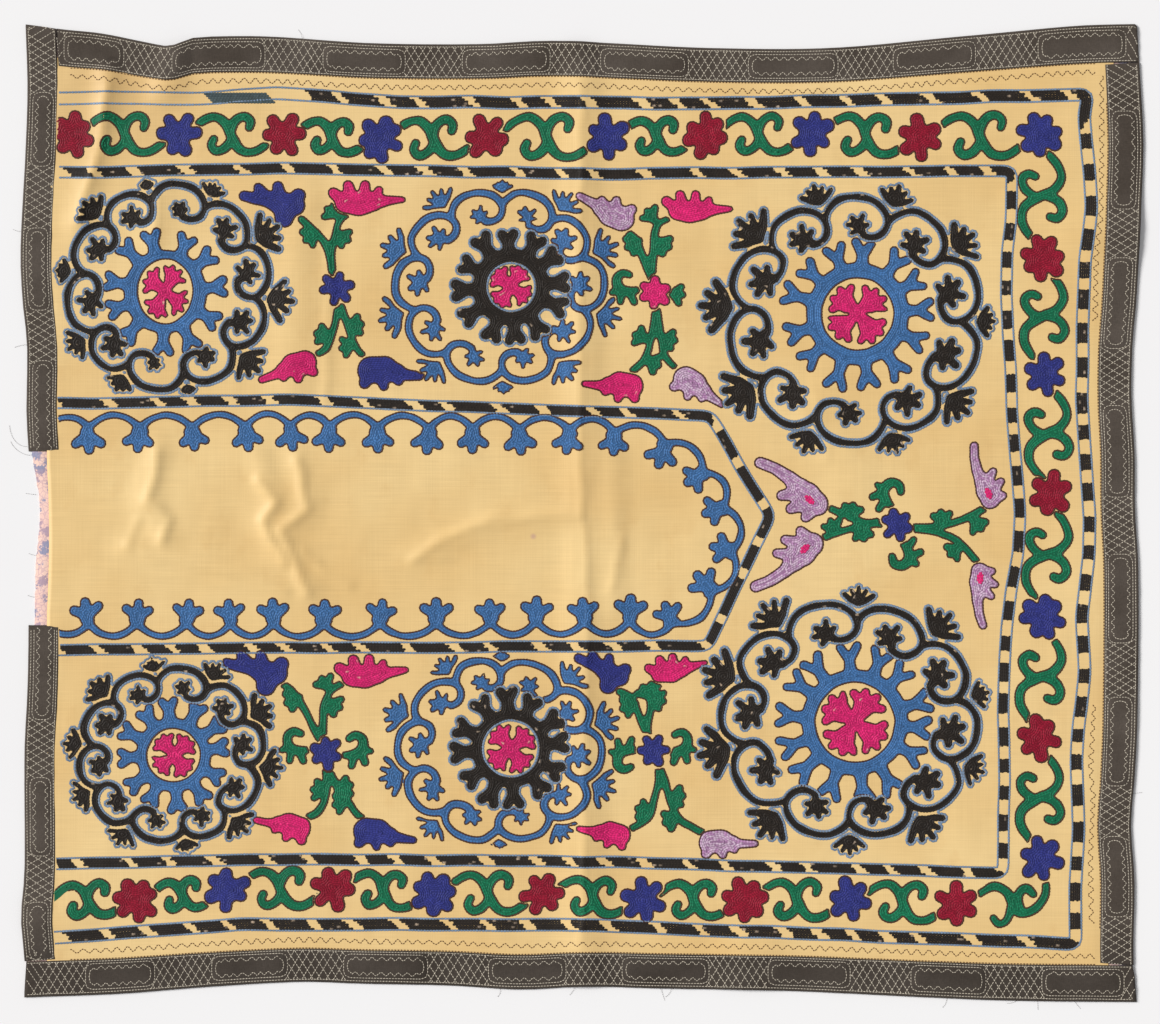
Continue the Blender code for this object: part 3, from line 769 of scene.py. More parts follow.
def thread_finish(name, colour, pale=WORN_THREAD):
    """Twisted thread: the attribute's red darkens it, which in chain stitch is painted shade in the holes of
    the stitches and on the flanks of the rows, with a painted highlight on their ridges; paler where the
    attribute says it is worn.
    """
    is_dark = sum(colour) < 0.1
    finish = Finish(name, 0.55, sheen=0.03 if is_dark else 0.08, specular=0.2)
    stitch = finish.node("ShaderNodeAttribute", attribute_name="stitch").outputs["Color"]
    parts = finish.node("ShaderNodeSeparateColor", {"Color": stitch}).outputs
    strands = finish.noise((0.8, 0.8, 0.8), 2.0)
    patch = finish.noise((22, 22, 22), 2.0)
    base = finish.mix(parts["Green"], colour, pale)
    # The attribute's red: random tone, and in chain stitch also painted shade and highlight
    base = finish.mix(1.0, base, finish.grey(parts["Red"]), "MULTIPLY")
    base = finish.shaded(base, patch, 0.3, 0.7, 0.90, 1.10)
    finish.colour(finish.shaded(base, strands, 0.3, 0.7, 0.85, 1.15))
    finish.bump(strands, 0.15, 0.5)
    return finish.material


GRID_X = np.arange(WEST, EAST, CELL)
GRID_Y = np.arange(SOUTH, NORTH, CELL)


class Area:
    """What one colour of thread covers, kept as the distance to its edge, less than 0 inside."""

    def __init__(self):
        self.away = np.full((len(GRID_Y), len(GRID_X)), FAR)

    def brush(self, stroke, hole=False):
        """Adds a stroke, or takes it out."""
        for (x0, y0, r0), (x1, y1, r1) in zip(stroke, stroke[1:]):
            margin = max(r0, r1) + (1.0 if hole else FAR)
            left, right = np.searchsorted(GRID_X, (min(x0, x1) - margin, max(x0, x1) + margin))
            low, high = np.searchsorted(GRID_Y, (min(y0, y1) - margin, max(y0, y1) + margin))
            share, away = nearest(GRID_X[None, left:right], GRID_Y[low:high, None], (x0, y0), (x1, y1))
            away = away - r0 - share * (r1 - r0)
            part = self.away[low:high, left:right]
            self.away[low:high, left:right] = np.maximum(part, -away) if hole else np.minimum(part, away)

    def draw(self, strokes, hole=False):
        for stroke in strokes:
            self.brush(stroke, hole)

    def keep_off(self, other, gap):
        """Leaves a gap of that width round another area."""
        self.away = np.maximum(self.away, gap - other.away)

    def hollow(self, x, y, across, up):
        """Takes an ellipse out."""
        reach_x, reach_y = (GRID_X[None, :] - x) / across, (GRID_Y[:, None] - y) / up
        ellipse = (np.hypot(reach_x, reach_y) - 1) * min(across, up)
        self.away = np.maximum(self.away, -ellipse)


def placed(shape, x, y, turn=0.0, size=1.0, flip=1, size_width=True):
    """A shape's strokes, sized, turned and set down. flip -1 mirrors it across its own X."""
    c, s = math.cos(math.radians(turn)), math.sin(math.radians(turn))
    wide = size if size_width else 1.0
    return [
        [(x + size * (c * u - s * v * flip), y + size * (s * u + c * v * flip), wide * w) for u, v, w in row]
        for row in shape
    ]


def curved(stroke, steps=3):
    """The stroke on a smooth curve through its points."""
    points = np.array(stroke, float)
    before = np.vstack([2 * points[0] - points[1], points[:-1]])
    after = np.vstack([points[1:], 2 * points[-1] - points[-2]])
    slope = (after - before) / 2
    out = [points[0]]
    for k in range(len(points) - 1):
        for step in range(1, steps + 1):
            t = step / steps
            cube, square = t**3, t**2
            out.append(
                (2 * cube - 3 * square + 1) * points[k]
                + (cube - 2 * square + t) * slope[k]
                + (3 * square - 2 * cube) * points[k + 1]
                + (cube - square) * slope[k + 1]
            )
    return [tuple(point) for point in out]


areas = {name: Area() for name in ("red", "indigo", "blue", "pink", "lilac", "green", "black")}
rng = np.random.default_rng(24)


def draw_flower(colour, x, y, size, petals=6):
    """A round flower with uneven petals."""
    first = rng.uniform(0, 360)
    strokes = [[(x, y, 0.58 * size), (x, y, 0.58 * size)]]
    for k in range(petals):
        angle = math.radians(first + 360 * k / petals + rng.uniform(-7, 7))
        long, wide = size * rng.uniform(0.64, 0.80), size * rng.uniform(0.26, 0.32)
        near = (x + 0.35 * size * math.cos(angle), y + 0.35 * size * math.sin(angle), 0.9 * wide)
        strokes.append([near, (x + long * math.cos(angle), y + long * math.sin(angle), wide)])
    areas[colour].draw(strokes)


def draw_medallion(x, y, across, up):
    """The pink flower in the middle of a rosette: four notched petals with slits between them."""
    area = areas["pink"]
    first = rng.uniform(-15, 15) + 45
    petal = [((0.12, 0, 0.18), (0.50, 0, 0.32))]
    for turn, far in PETAL_LOBES:
        lobe = math.radians(turn)
        petal.append(((0.50, 0, 0.15), (far * math.cos(lobe), far * math.sin(lobe), 0.125)))
    for hole, shape, shift in ((False, petal, 0), (True, PETAL_SLIT, 45)):
        for k in range(4):
            strokes = placed(shape, 0, 0, first + shift + 90 * k + rng.uniform(-5, 5))
            area.draw([[(x + across * u, y + up * v, w * across) for u, v, w in s] for s in strokes], hole)


def draw_star(area, rosette):
    """The toothed star round a medallion."""
    x, y, size = rosette.x, rosette.y, rosette.star
    area.brush([(x, y, 0.65 * size), (x, y, 0.65 * size)])
    first = rng.uniform(0, 360)
    for k in range(rosette.forks):
        heading = first + 360 * (k + rng.uniform(-0.12, 0.12)) / rosette.forks
        area.draw(placed(FORK, x, y, heading, size * rng.uniform(0.95, 1.04), size_width=False))
    area.hollow(x, y, rosette.medallion_x, rosette.medallion_y)


def ring_spot(rosette, angle, share):
    """A place on a rosette's ring, at that share of its radius."""
    turn = math.radians(angle)
    x, y = rosette.x + rosette.ring_x, rosette.y + rosette.ring_y
    return x + rosette.across * share * math.cos(turn), y + rosette.up * share * math.sin(turn)


def squeezed(rosette, angle, share=1.0):
    """How far a palmette at that angle is made smaller, so that it keeps clear of the bands."""
    return 1 - share * rosette.squeeze * math.sin(math.radians(angle)) ** 6


def draw_outer_palmette(area, rosette, angle):
    """The palmette outside the junction of two lobes."""
    root = ring_spot(rosette, angle, OUTER_AT)
    outward = aim((rosette.x + rosette.ring_x, rosette.y + rosette.ring_y), root)
    sideways = max(0.0, math.copysign(1, rosette.side_squeeze) * math.cos(math.radians(angle)))
    size = OUTER_SIZE * (rosette.across + rosette.up) / 2 * squeezed(rosette, angle)
    size *= 1 - abs(rosette.side_squeeze) * sideways**4
    area.draw(placed(OUTER_PALMETTE, *root, outward, size))


def draw_lobe(area, rosette, start, end, half):
    """A lobe of the ring from one junction to the next, which curls back into a palmette."""
    turn = end - start
    swell = rng.uniform(-0.015, 0.015)
    lobe = []
    for share, radius in RING_LOBE:
        radius += swell if 0.1 < share < 0.95 else 0
        lobe.append((*ring_spot(rosette, start + share * turn, radius), half))
    area.brush(curved(lobe))
    root = ring_spot(rosette, start + INNER_ROOT[0] * turn, INNER_ROOT[1])
    tip = ring_spot(rosette, start + (INNER_TIP[0] + rng.uniform(-0.05, 0.08)) * turn, INNER_TIP[1])
    size = INNER_SIZE * squeezed(rosette, (start + end) / 2, 0.5) * (rosette.across + rosette.up) / 2
    area.draw(placed(INNER_PALMETTE, *root, aim(root, tip), size * rng.uniform(0.95, 1.05)))


def draw_ring(area, rosette, half):
    """The scrolling ring: lobes that each curl back into a palmette, and palmettes at their junctions."""
    junctions = [rosette.first - 360 / LOBES * (k + rng.uniform(-0.09, 0.09)) for k in range(LOBES)]
    ring, palmettes = Area(), Area()
    for angle in junctions:
        draw_outer_palmette(palmettes, rosette, angle)
    for start, end in zip(junctions, junctions[1:] + [junctions[0] - 360]):
        draw_lobe(ring, rosette, start, end, half)
    palmettes.keep_off(ring, COLLAR)
    area.away = np.minimum(area.away, np.minimum(ring.away, palmettes.away))


def draw_rosettes():
    for rosette in ROSETTES:
        ring, star = ("blue", "black") if rosette.blue_ring else ("black", "blue")
        draw_ring(areas[ring], rosette, BLUE_RING_HALF if rosette.blue_ring else BLACK_RING_HALF)
        draw_star(areas[star], rosette)
        across, up = MEDALLION_SHARE * rosette.medallion_x, MEDALLION_SHARE * rosette.medallion_y
        draw_medallion(rosette.x, rosette.y, across, up)


def tulip_place(spray, tulip):
    return spray.x + tulip.x, spray.y + tulip.y, tulip.tail, tulip.size, tulip.side


def draw_spray(spray):
    """Stems that leave a flower, each with its leaves, a hook or two and tulips at the ends."""
    x, y, green = spray.x, spray.y, areas["green"]
    for stem in spray.stems:
        root = (0.5 * stem[0][0], 0.5 * stem[0][1])
        widths = np.linspace(4.6, 4.1, len(stem) + 1)
        green.brush(curved([(x + u, y + v, w) for (u, v), w in zip((root, *stem), widths)]))
    for u, v, heading in spray.leaves:
        green.draw(placed(LEAF, x + u, y + v, heading + rng.uniform(-6, 6)))
    for u, v, heading, flip in spray.hooks:
        green.draw([curved(stroke) for stroke in placed(HOOK, x + u, y + v, heading, 1.0, flip)])
    for tulip in spray.tulips:
        areas[tulip.colour].draw(placed(tulip.shape, *tulip_place(spray, tulip)))
    draw_flower(spray.centre, x, y, CENTRE_SIZE)


def draw_border():
    """The vine that runs round through the border's flowers."""
    vine = [CORNER, placed(SCROLL, *FIRST_SCROLL, size_width=False)]
    for run in (TOP_FLOWERS, TOP_FLOWERS[-1:] + RIGHT_FLOWERS, BOTTOM_FLOWERS):
        for start, end in zip(run, run[1:]):
            size = min(SCROLL_SIZE * (math.dist(start, end) - 44) / 68, SCROLL_LIMIT)
            middle = np.add(start, end) / 2
            vine.append(placed(SCROLL, *middle, aim(start, end), size, size_width=False))
    for shape in vine:
        areas["green"].draw([curved(stroke) for stroke in shape])
    for run in (TOP_FLOWERS, RIGHT_FLOWERS, BOTTOM_FLOWERS):
        for k, (x, y) in enumerate(run):
            draw_flower("indigo" if k % 2 else "red", x, y, FLOWER_SIZE, 6 if k % 3 else 7)


def draw_vine():
    """Arcs that cross above each leaf of the niche's vine."""
    area = areas["blue"]
    points = np.array(VINE, float)
    middle = np.array([150.0, -15.0])
    for k, (start, end) in enumerate(zip(points, points[1:])):
        run = end - start
        out = np.array([-run[1], run[0]])
        swing = min(VINE_SWING, VINE_DEPTH / np.hypot(*run)) * (0.6 if k in (0, len(points) - 2) else 1.0)
        arc = (
            (-0.10, -0.07), (0.02, 0.03), (0.23, 0.72 * swing), (0.50, swing), (0.77, 0.72 * swing),
            (0.98, 0.03), (1.10, -0.07),
        )
        area.brush(curved([(*(start + u * run + v * out), VINE_HALF) for u, v in arc]))
    for before, point, after in zip(points, points[1:], points[2:]):
        run = after - before
        inward = math.degrees(math.atan2(-run[0], run[1]))
        if np.dot(middle - point, (math.cos(math.radians(inward)), math.sin(math.radians(inward)))) < 0:
            inward += 180
        heading = inward + rng.uniform(-10, 10)
        area.draw(placed(VINE_LEAF, *point, heading, rng.uniform(0.92, 1.05), rng.choice((-1, 1))))


# Marching squares: which edges of a cell (0 low, 1 right, 2 high, 3 left) a line joins, with the inside on
# its left
CELL_LINES = {
    1: ((0, 3),), 2: ((1, 0),), 3: ((1, 3),), 4: ((2, 1),), 5: ((0, 3), (2, 1)), 6: ((2, 0),),
    7: ((2, 3),), 8: ((3, 2),), 9: ((0, 2),), 10: ((1, 0), (3, 2)), 11: ((1, 2),), 12: ((3, 1),),
    13: ((0, 1),), 14: ((3, 0),),
}


def cell_codes(field, level):
    inside = field < level
    return inside[:-1, :-1] * 1 + inside[:-1, 1:] * 2 + inside[1:, 1:] * 4 + inside[1:, :-1] * 8


def edge_spot(field, level, rows, columns, edge):
    """Where the level crosses an edge of each cell, and the number that two cells share for that edge."""
    upright = edge in (1, 3)
    j = rows + (1 if edge == 2 else 0)
    i = columns + (1 if edge == 1 else 0)
    near = field[j, i]
    far = field[j + 1, i] if upright else field[j, i + 1]
    share = (level - near) / (far - near)
    number = (j * field.shape[1] + i) * 2 + upright
    return i + (0 if upright else share), j + (share if upright else 0), number


def contours(field, level):
    """The lines along which the field has a level, as rows of points."""
    codes = cell_codes(field, level)
    following, spots = {}, {}
    for code, lines in CELL_LINES.items():
        rows, columns = np.nonzero(codes == code)
        for start, end in lines:
            x, y, begins = edge_spot(field, level, rows, columns, start)
            ends = edge_spot(field, level, rows, columns, end)[2]
            places = np.column_stack([WEST + x * CELL, SOUTH + y * CELL])
            following.update(zip(begins.tolist(), ends.tolist()))
            spots.update(zip(begins.tolist(), places.tolist()))
    chains = []
    while following:
        first, after = following.popitem()
        chain = [spots[first]]
        while after in following:
            chain.append(spots[after])
            after = following.pop(after)
        closed = after == first
        if len(chain) > 5:
            chains.append((np.array(chain), closed))
    return chains


def relaxed(points, closed, times=2):
    """The chain with its steps smoothed away."""
    for _ in range(times):
        ahead, behind = np.roll(points, -1, 0), np.roll(points, 1, 0)
        moved = (ahead + behind + 2 * points) / 4
        if not closed:
            moved[0], moved[-1] = points[0], points[-1]
        points = moved
    return points


def resampled(points, pitch, closed=False):
    """Places every half pitch along a chain."""
    if closed:
        points = np.vstack([points, points[:1]])
    along = lengths_along(points)
    count = max(2, round(along[-1] / pitch)) * 2
    return spots_on(points, along, np.linspace(0, along[-1], count + 1))


def is_shown(x, y):
    return (
        (y > np.interp(x, LIMIT_X, SHOWN_BOTTOM)) & (y < np.interp(x, LIMIT_X, SHOWN_TOP))
        & (x > np.interp(y, LIMIT_Y, SHOWN_LEFT)) & (x < np.interp(y, LIMIT_Y, SHOWN_RIGHT))
    )


class Gathered:
    """Thread of one colour, gathered into one mesh. A shade holds how bright a point is, with the painted
    shade and highlight of chain stitch in it, and how worn it is.
    """

    def __init__(self, seed):
        self.points, self.faces, self.shades = [], [], []
        self.count = 0
        self.rng = np.random.default_rng(seed)

    def add(self, points, faces, shades):
        self.points.append(points)
        self.faces.append(faces + self.count)
        self.shades.append(shades)
        self.count += len(points)

    def build(self, name, material, slot):
        by_size = {}
        for faces in self.faces:
            by_size.setdefault(faces.shape[1], []).append(faces)
        faces = [np.concatenate(group) for group in by_size.values()]
        shades = np.concatenate(self.shades)
        return build_mesh(name, np.concatenate(self.points), faces, material, shades)


class Stitches(Gathered):
    """Rows of chain stitch."""

    def row(self, chain, half, closed=False, lift=PAD_LIFT, height=ROW_HEIGHT, worn=0.0):
        places = resampled(chain, STITCH, closed)
        for run in runs_of(is_shown(places[:, 0], places[:, 1])):
            self.strip(places[run], half, lift, height, worn)

    def strip(self, places, half, lift, height, worn):
        count = len(places)
        side = left_of(np.gradient(places, axis=0))
        belly = (np.arange(count) % 2 == 1).astype(float)
        stitch = self.rng.uniform(-1, 1, count // 2 + 2)[np.arange(count) // 2]
        wide = half * (0.64 + 0.36 * belly) * (1 + 0.10 * stitch)
        level = ground.read(*places.T) + lift
        rows = np.empty((count, 3, 3))
        rows[:, 0, :2] = places + side * wide[:, None]
        rows[:, 1, :2] = places + side * (0.18 * wide * stitch)[:, None]
        rows[:, 2, :2] = places - side * wide[:, None]
        rows[:, 0, 2] = rows[:, 2, 2] = level
        rows[:, 1, 2] = level + height * (0.42 + 0.58 * belly)
        # Painted shade: the holes between stitches (0.70) are darker than the bellies; the rest is random
        # tone of each stitch and row
        shade = (0.70 + 0.32 * belly) * (1 + 0.13 * stitch) * self.rng.uniform(0.93, 1.07)
        draw = self.rng.uniform(0, 1, count // 2 + 2)[np.arange(count) // 2]
        pale = np.where(draw < worn, 0.2 + 0.4 * draw / max(worn, 1e-6), 0.0)
        colours = np.zeros((count, 3, 2))
        # Painted shade on the flanks of each row and a painted highlight on its ridge
        colours[:, :, 0] = shade[:, None] * np.array([0.80, 1.06, 0.80])
        colours[:, :, 1] = pale[:, None]
        self.add(rows.reshape(-1, 3), grid_faces(count, 3), colours.reshape(-1, 2))


# The part of a cell that lies inside: corners 0 to 3, and crossed edges 4 low, 5 right, 6 high, 7 left
CELL_PARTS = {
    1: ((0, 4, 7),), 2: ((4, 1, 5),), 3: ((0, 1, 5), (0, 5, 7)), 4: ((5, 2, 6),), 5: ((0, 4, 7), (5, 2, 6)),
    6: ((4, 1, 2), (4, 2, 6)), 7: ((0, 1, 2), (0, 2, 6), (0, 6, 7)), 8: ((7, 6, 3),),
    9: ((0, 4, 6), (0, 6, 3)), 10: ((4, 1, 5), (7, 6, 3)), 11: ((0, 1, 5), (0, 5, 6), (0, 6, 3)),
    12: ((7, 5, 2), (7, 2, 3)), 13: ((0, 4, 5), (0, 5, 2), (0, 2, 3)),
    14: ((4, 1, 2), (4, 2, 3), (4, 3, 7)), 15: ((0, 1, 2), (0, 2, 3)),
}


def lay_pad(stitches, field):
    """Thread that fills in under the rows, so that no silk shows between them; it is darker, as painted shade
    in the gaps.
    """
    coarse = field[::2, ::2]
    codes = cell_codes(coarse, PAD_LEVEL)
    pitch = 2 * CELL
    for code, triangles in CELL_PARTS.items():
        rows, columns = np.nonzero(codes == code)
        if not len(rows):
            continue
        corners = [(columns, rows), (columns + 1, rows), (columns + 1, rows + 1), (columns, rows + 1)]
        if code < 15:
            corners += [edge_spot(coarse, PAD_LEVEL, rows, columns, edge)[:2] for edge in range(4)]
        x = np.stack([WEST + pitch * np.asarray(spot[0], float) for spot in corners])
        y = np.stack([SOUTH + pitch * np.asarray(spot[1], float) for spot in corners])
        for triangle in triangles:
            px, py = x[list(triangle)].T.ravel(), y[list(triangle)].T.ravel()
            seen = is_shown(px, py).reshape(-1, 3).all(1).repeat(3)
            px, py = px[seen], py[seen]
            points = np.column_stack([px, py, ground.read(px, py) + BASE_LIFT])
            # Painted shade: the pad is darker than the rows over it
            shades = np.column_stack([np.full(len(px), PAD_PAINTED_SHADE), np.zeros(len(px))])
            stitches.add(points, np.arange(len(px)).reshape(-1, 3), shades)


def distances(area):
    """The area's distances made even: a little unsteady, as a drawn line is, and true inside too."""
    x, y = np.meshgrid(GRID_X, GRID_Y)
    drawn = blurred(area.away, 1) + 0.55 * soft_noise(x, y, 13, 13, 7) + 0.25 * soft_noise(x, y, 5, 5, 8)
    chains = contours(drawn, 0.0)
    if not chains:
        return drawn
    rim = np.concatenate([points for points, _ in chains])
    tree = KDTree(len(rim))
    for k, (px, py) in enumerate(rim):
        tree.insert((px, py, 0), k)
    tree.balance()
    inside = drawn < 0
    depths = [-tree.find((px, py, 0))[2] for px, py in zip(x[inside], y[inside])]
    drawn[inside] = depths
    return drawn


def sew(name, outline, outline_level, outline_half, first_row):
    """Fills one colour's area with rows that follow its edge, and goes round it in another thread."""
    field = distances(areas[name])
    fill = Stitches(len(name))
    lay_pad(fill, field)
    level = -first_row
    while field.min() < level:
        for chain, closed in contours(field, level):
            fill.row(relaxed(chain, closed), ROW_HALF, closed, worn=WORN.get(name, 0.0))
        level -= ROW_PITCH
    for chain, closed in contours(field, outline_level):
        outline.row(relaxed(chain, closed), outline_half, closed, lift=0.15, height=0.8)
    return fill


def offset_line(points, away):
    """The line moved sideways, to its left."""
    return points + away * left_of(np.gradient(points, axis=0))


def between(points, start, end):
    """The stretch of a line from start to end along it."""
    places = np.linspace(start, end, max(3, int((end - start) / 4)))
    return spots_on(points, lengths_along(points), places)


def sew_bar(black, middle, length, start, end, half, slants, order):
    """One bar: rows of black beside one another, slanted and ragged at their ends."""
    slant, fray = (BAR_SLANT, 2.2) if slants else (0.0, 0.6)
    for row in np.linspace(-half + 1.9, half - 1.9, 5):
        ragged = order.uniform(-fray, fray, 2)
        begin = max(0, start + slant * row + ragged[0])
        finish = min(length, end + slant * row + ragged[1])
        bar = offset_line(between(middle, begin, finish), row)
        black.row(bar, BAR_ROW_HALF, lift=0.15, height=0.7, worn=WORN_BARS)


def sew_bands(black, pale):
    """Barred bands: two pale lines with black bars between them, slanted where the band runs along X."""
    order = np.random.default_rng(11)
    for band in BANDS:
        middle = relaxed(resampled(np.array(band.line, float), 10), False, 2)
        middle += 0.8 * np.column_stack([soft_noise(*middle.T, 40, 40, seed) for seed in (21, 22)])
        for side in (-1, 1):
            pale.row(offset_line(middle, side * band.half), 1.25, lift=0.12, height=0.75)
        length = np.hypot(*np.diff(middle, axis=0).T).sum()
        start = order.uniform(3, 10)
        while start < length - 8:
            here, ahead = between(middle, start, start + 8)[[0, -1]]
            run_x, run_y = abs(ahead - here)
            upright = run_y > 3 * run_x
            long = order.uniform(14, 23) if upright else order.uniform(22, 46)
            end = min(start + long, length - 3)
            bare = band.bare and band.bare[0] < here[0] < band.bare[1] and here[1] > 0
            if not bare:
                sew_bar(black, middle, length, start, end, band.half, run_y <= run_x, order)
            start = end + (order.uniform(12, 17) if upright else order.uniform(9, 14))


def sew_teal_bar(teal):
    """The one long bar in another thread, which a mender put in the outer band."""
    start, end, y = TEAL_BAR
    for row in np.linspace(-4.5, 4.5, 5):
        x = np.linspace(start - row, end - row, 24)
        teal.row(np.column_stack([x, np.full(24, y + row)]), BAR_ROW_HALF, lift=0.15, height=0.7)


def sew_hearts(pink):
    """The pink hearts of the lilac tulips: a few short rows laid over the lilac."""
    hearts = [(spray, tulip) for spray in SPRAYS for tulip in spray.tulips if tulip.shape is LONG]
    for spray, tulip in hearts:
        (((x, y, _),),) = placed(HEART, *tulip_place(spray, tulip))
        turn = math.radians(tulip.tail)
        for row, half_long in HEART_ROWS:
            along = np.linspace(-half_long, half_long, 5)
            across_x, across_y = row * math.sin(turn), row * math.cos(turn)
            spots = (x + along * math.cos(turn) - across_x, y + along * math.sin(turn) + across_y)
            pink.row(np.column_stack(spots), 1.3, lift=0.75, height=0.7)


# Which thread stops short of which where two meet
LAYERS = (
    ("green", "red"), ("green", "indigo"), ("green", "pink"), ("green", "lilac"), ("lilac", "pink"),
    ("indigo", "black"), ("indigo", "blue"), ("pink", "black"), ("blue", "black"), ("blue", "green"),
    ("black", "green"), ("lilac", "black"),
)


def build_embroidery():
    draw_rosettes()
    for spray in SPRAYS:
        draw_spray(spray)
    draw_border()
    draw_vine()
    for under, over in LAYERS:
        areas[under].keep_off(areas[over], 1.0)
    brown, pale = Stitches(1), Stitches(2)
    made, fills = [], {}
    for name in ("red", "indigo", "blue", "pink", "lilac", "green"):
        fills[name] = sew(name, brown, BROWN_LEVEL, OUTLINE_HALF, FIRST_ROW)
    fills["black"] = sew("black", pale, PALE_LEVEL, PALE_HALF, FIRST_BLACK_ROW)
    fills["teal"] = Stitches(3)
    sew_bands(fills["black"], pale)
    sew_teal_bar(fills["teal"])
    sew_hearts(fills["pink"])
    fills["brown"], fills["pale_blue"] = brown, pale
    for name, stitches in fills.items():
        tint = WORN_LILAC if name == "lilac" else WORN_THREAD
        finish = thread_finish(name + "_thread", COLOURS[name], tint)
        made.append(stitches.build("embroidery_" + name, finish, SLOTS.get(name)))
    return made


def spread(left_x, right_x, columns, along_x, bottom, top, inset):
    """Places of a grid that fills the space inside four edges, with one left and one right place a row."""
    u, v = np.linspace(0, 1, columns + 1), np.linspace(0, 1, len(left_x))
    x = left_x[:, None] + u[None, :] * (right_x - left_x)[:, None]
    low, high = np.interp(x, along_x, bottom) + inset, np.interp(x, along_x, top) - inset
    return x, low + v[:, None] * (high - low)


def build_silk():
    """The face panel's cloth, its edges under the binding and its tab edge turned down."""
    columns = round((EAST - WEST) / SILK_PITCH)
    rows = round((NORTH - SOUTH) / SILK_PITCH)
    tab_y = np.linspace(-106, 52, 40)
    tab = reach("face_panel", 1, tab_y)[0]
    along_y = np.linspace(-474, 474, 160)
    right = reach("face_panel", 1, along_y)[1]
    along_x = np.linspace(CAD_LOW[0] / MM + 40, right.min() - 2, 200)
    bottom, top = reach("face_panel", 0, along_x)
    nominal_y = SOUTH + np.linspace(0, 1, rows + 1) * (NORTH - SOUTH)
    left_x = np.interp(nominal_y, tab_y, tab)
    right_x = np.interp(nominal_y, along_y, right) + SILK_UNDER_BINDING
    x, y = spread(left_x, right_x, columns, along_x, bottom, top, -SILK_UNDER_BINDING)
    z = ground.read(x, y)
    tucked = np.column_stack([x[:, 0] - 0.2, y[:, 0], z[:, 0] - 0.6])
    under = np.column_stack([x[:, 0] + 0.6, y[:, 0], np.full(len(y), SILK_EDGE_LEVEL)])
    sheet = np.column_stack([x.ravel(), y.ravel(), z.ravel()])
    points = np.concatenate([sheet, tucked, under])
    first, second = len(sheet), len(sheet) + len(tucked)
    j = np.arange(rows)
    edge = np.column_stack([j * (columns + 1), (j + 1) * (columns + 1), first + j + 1, first + j])
    hem = np.column_stack([first + j, first + j + 1, second + j + 1, second + j])
    faces = [grid_faces(rows + 1, columns + 1), edge, hem]
    silk = build_mesh("silk_face", points, faces, silk_finish())
    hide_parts("face_panel")
    return silk


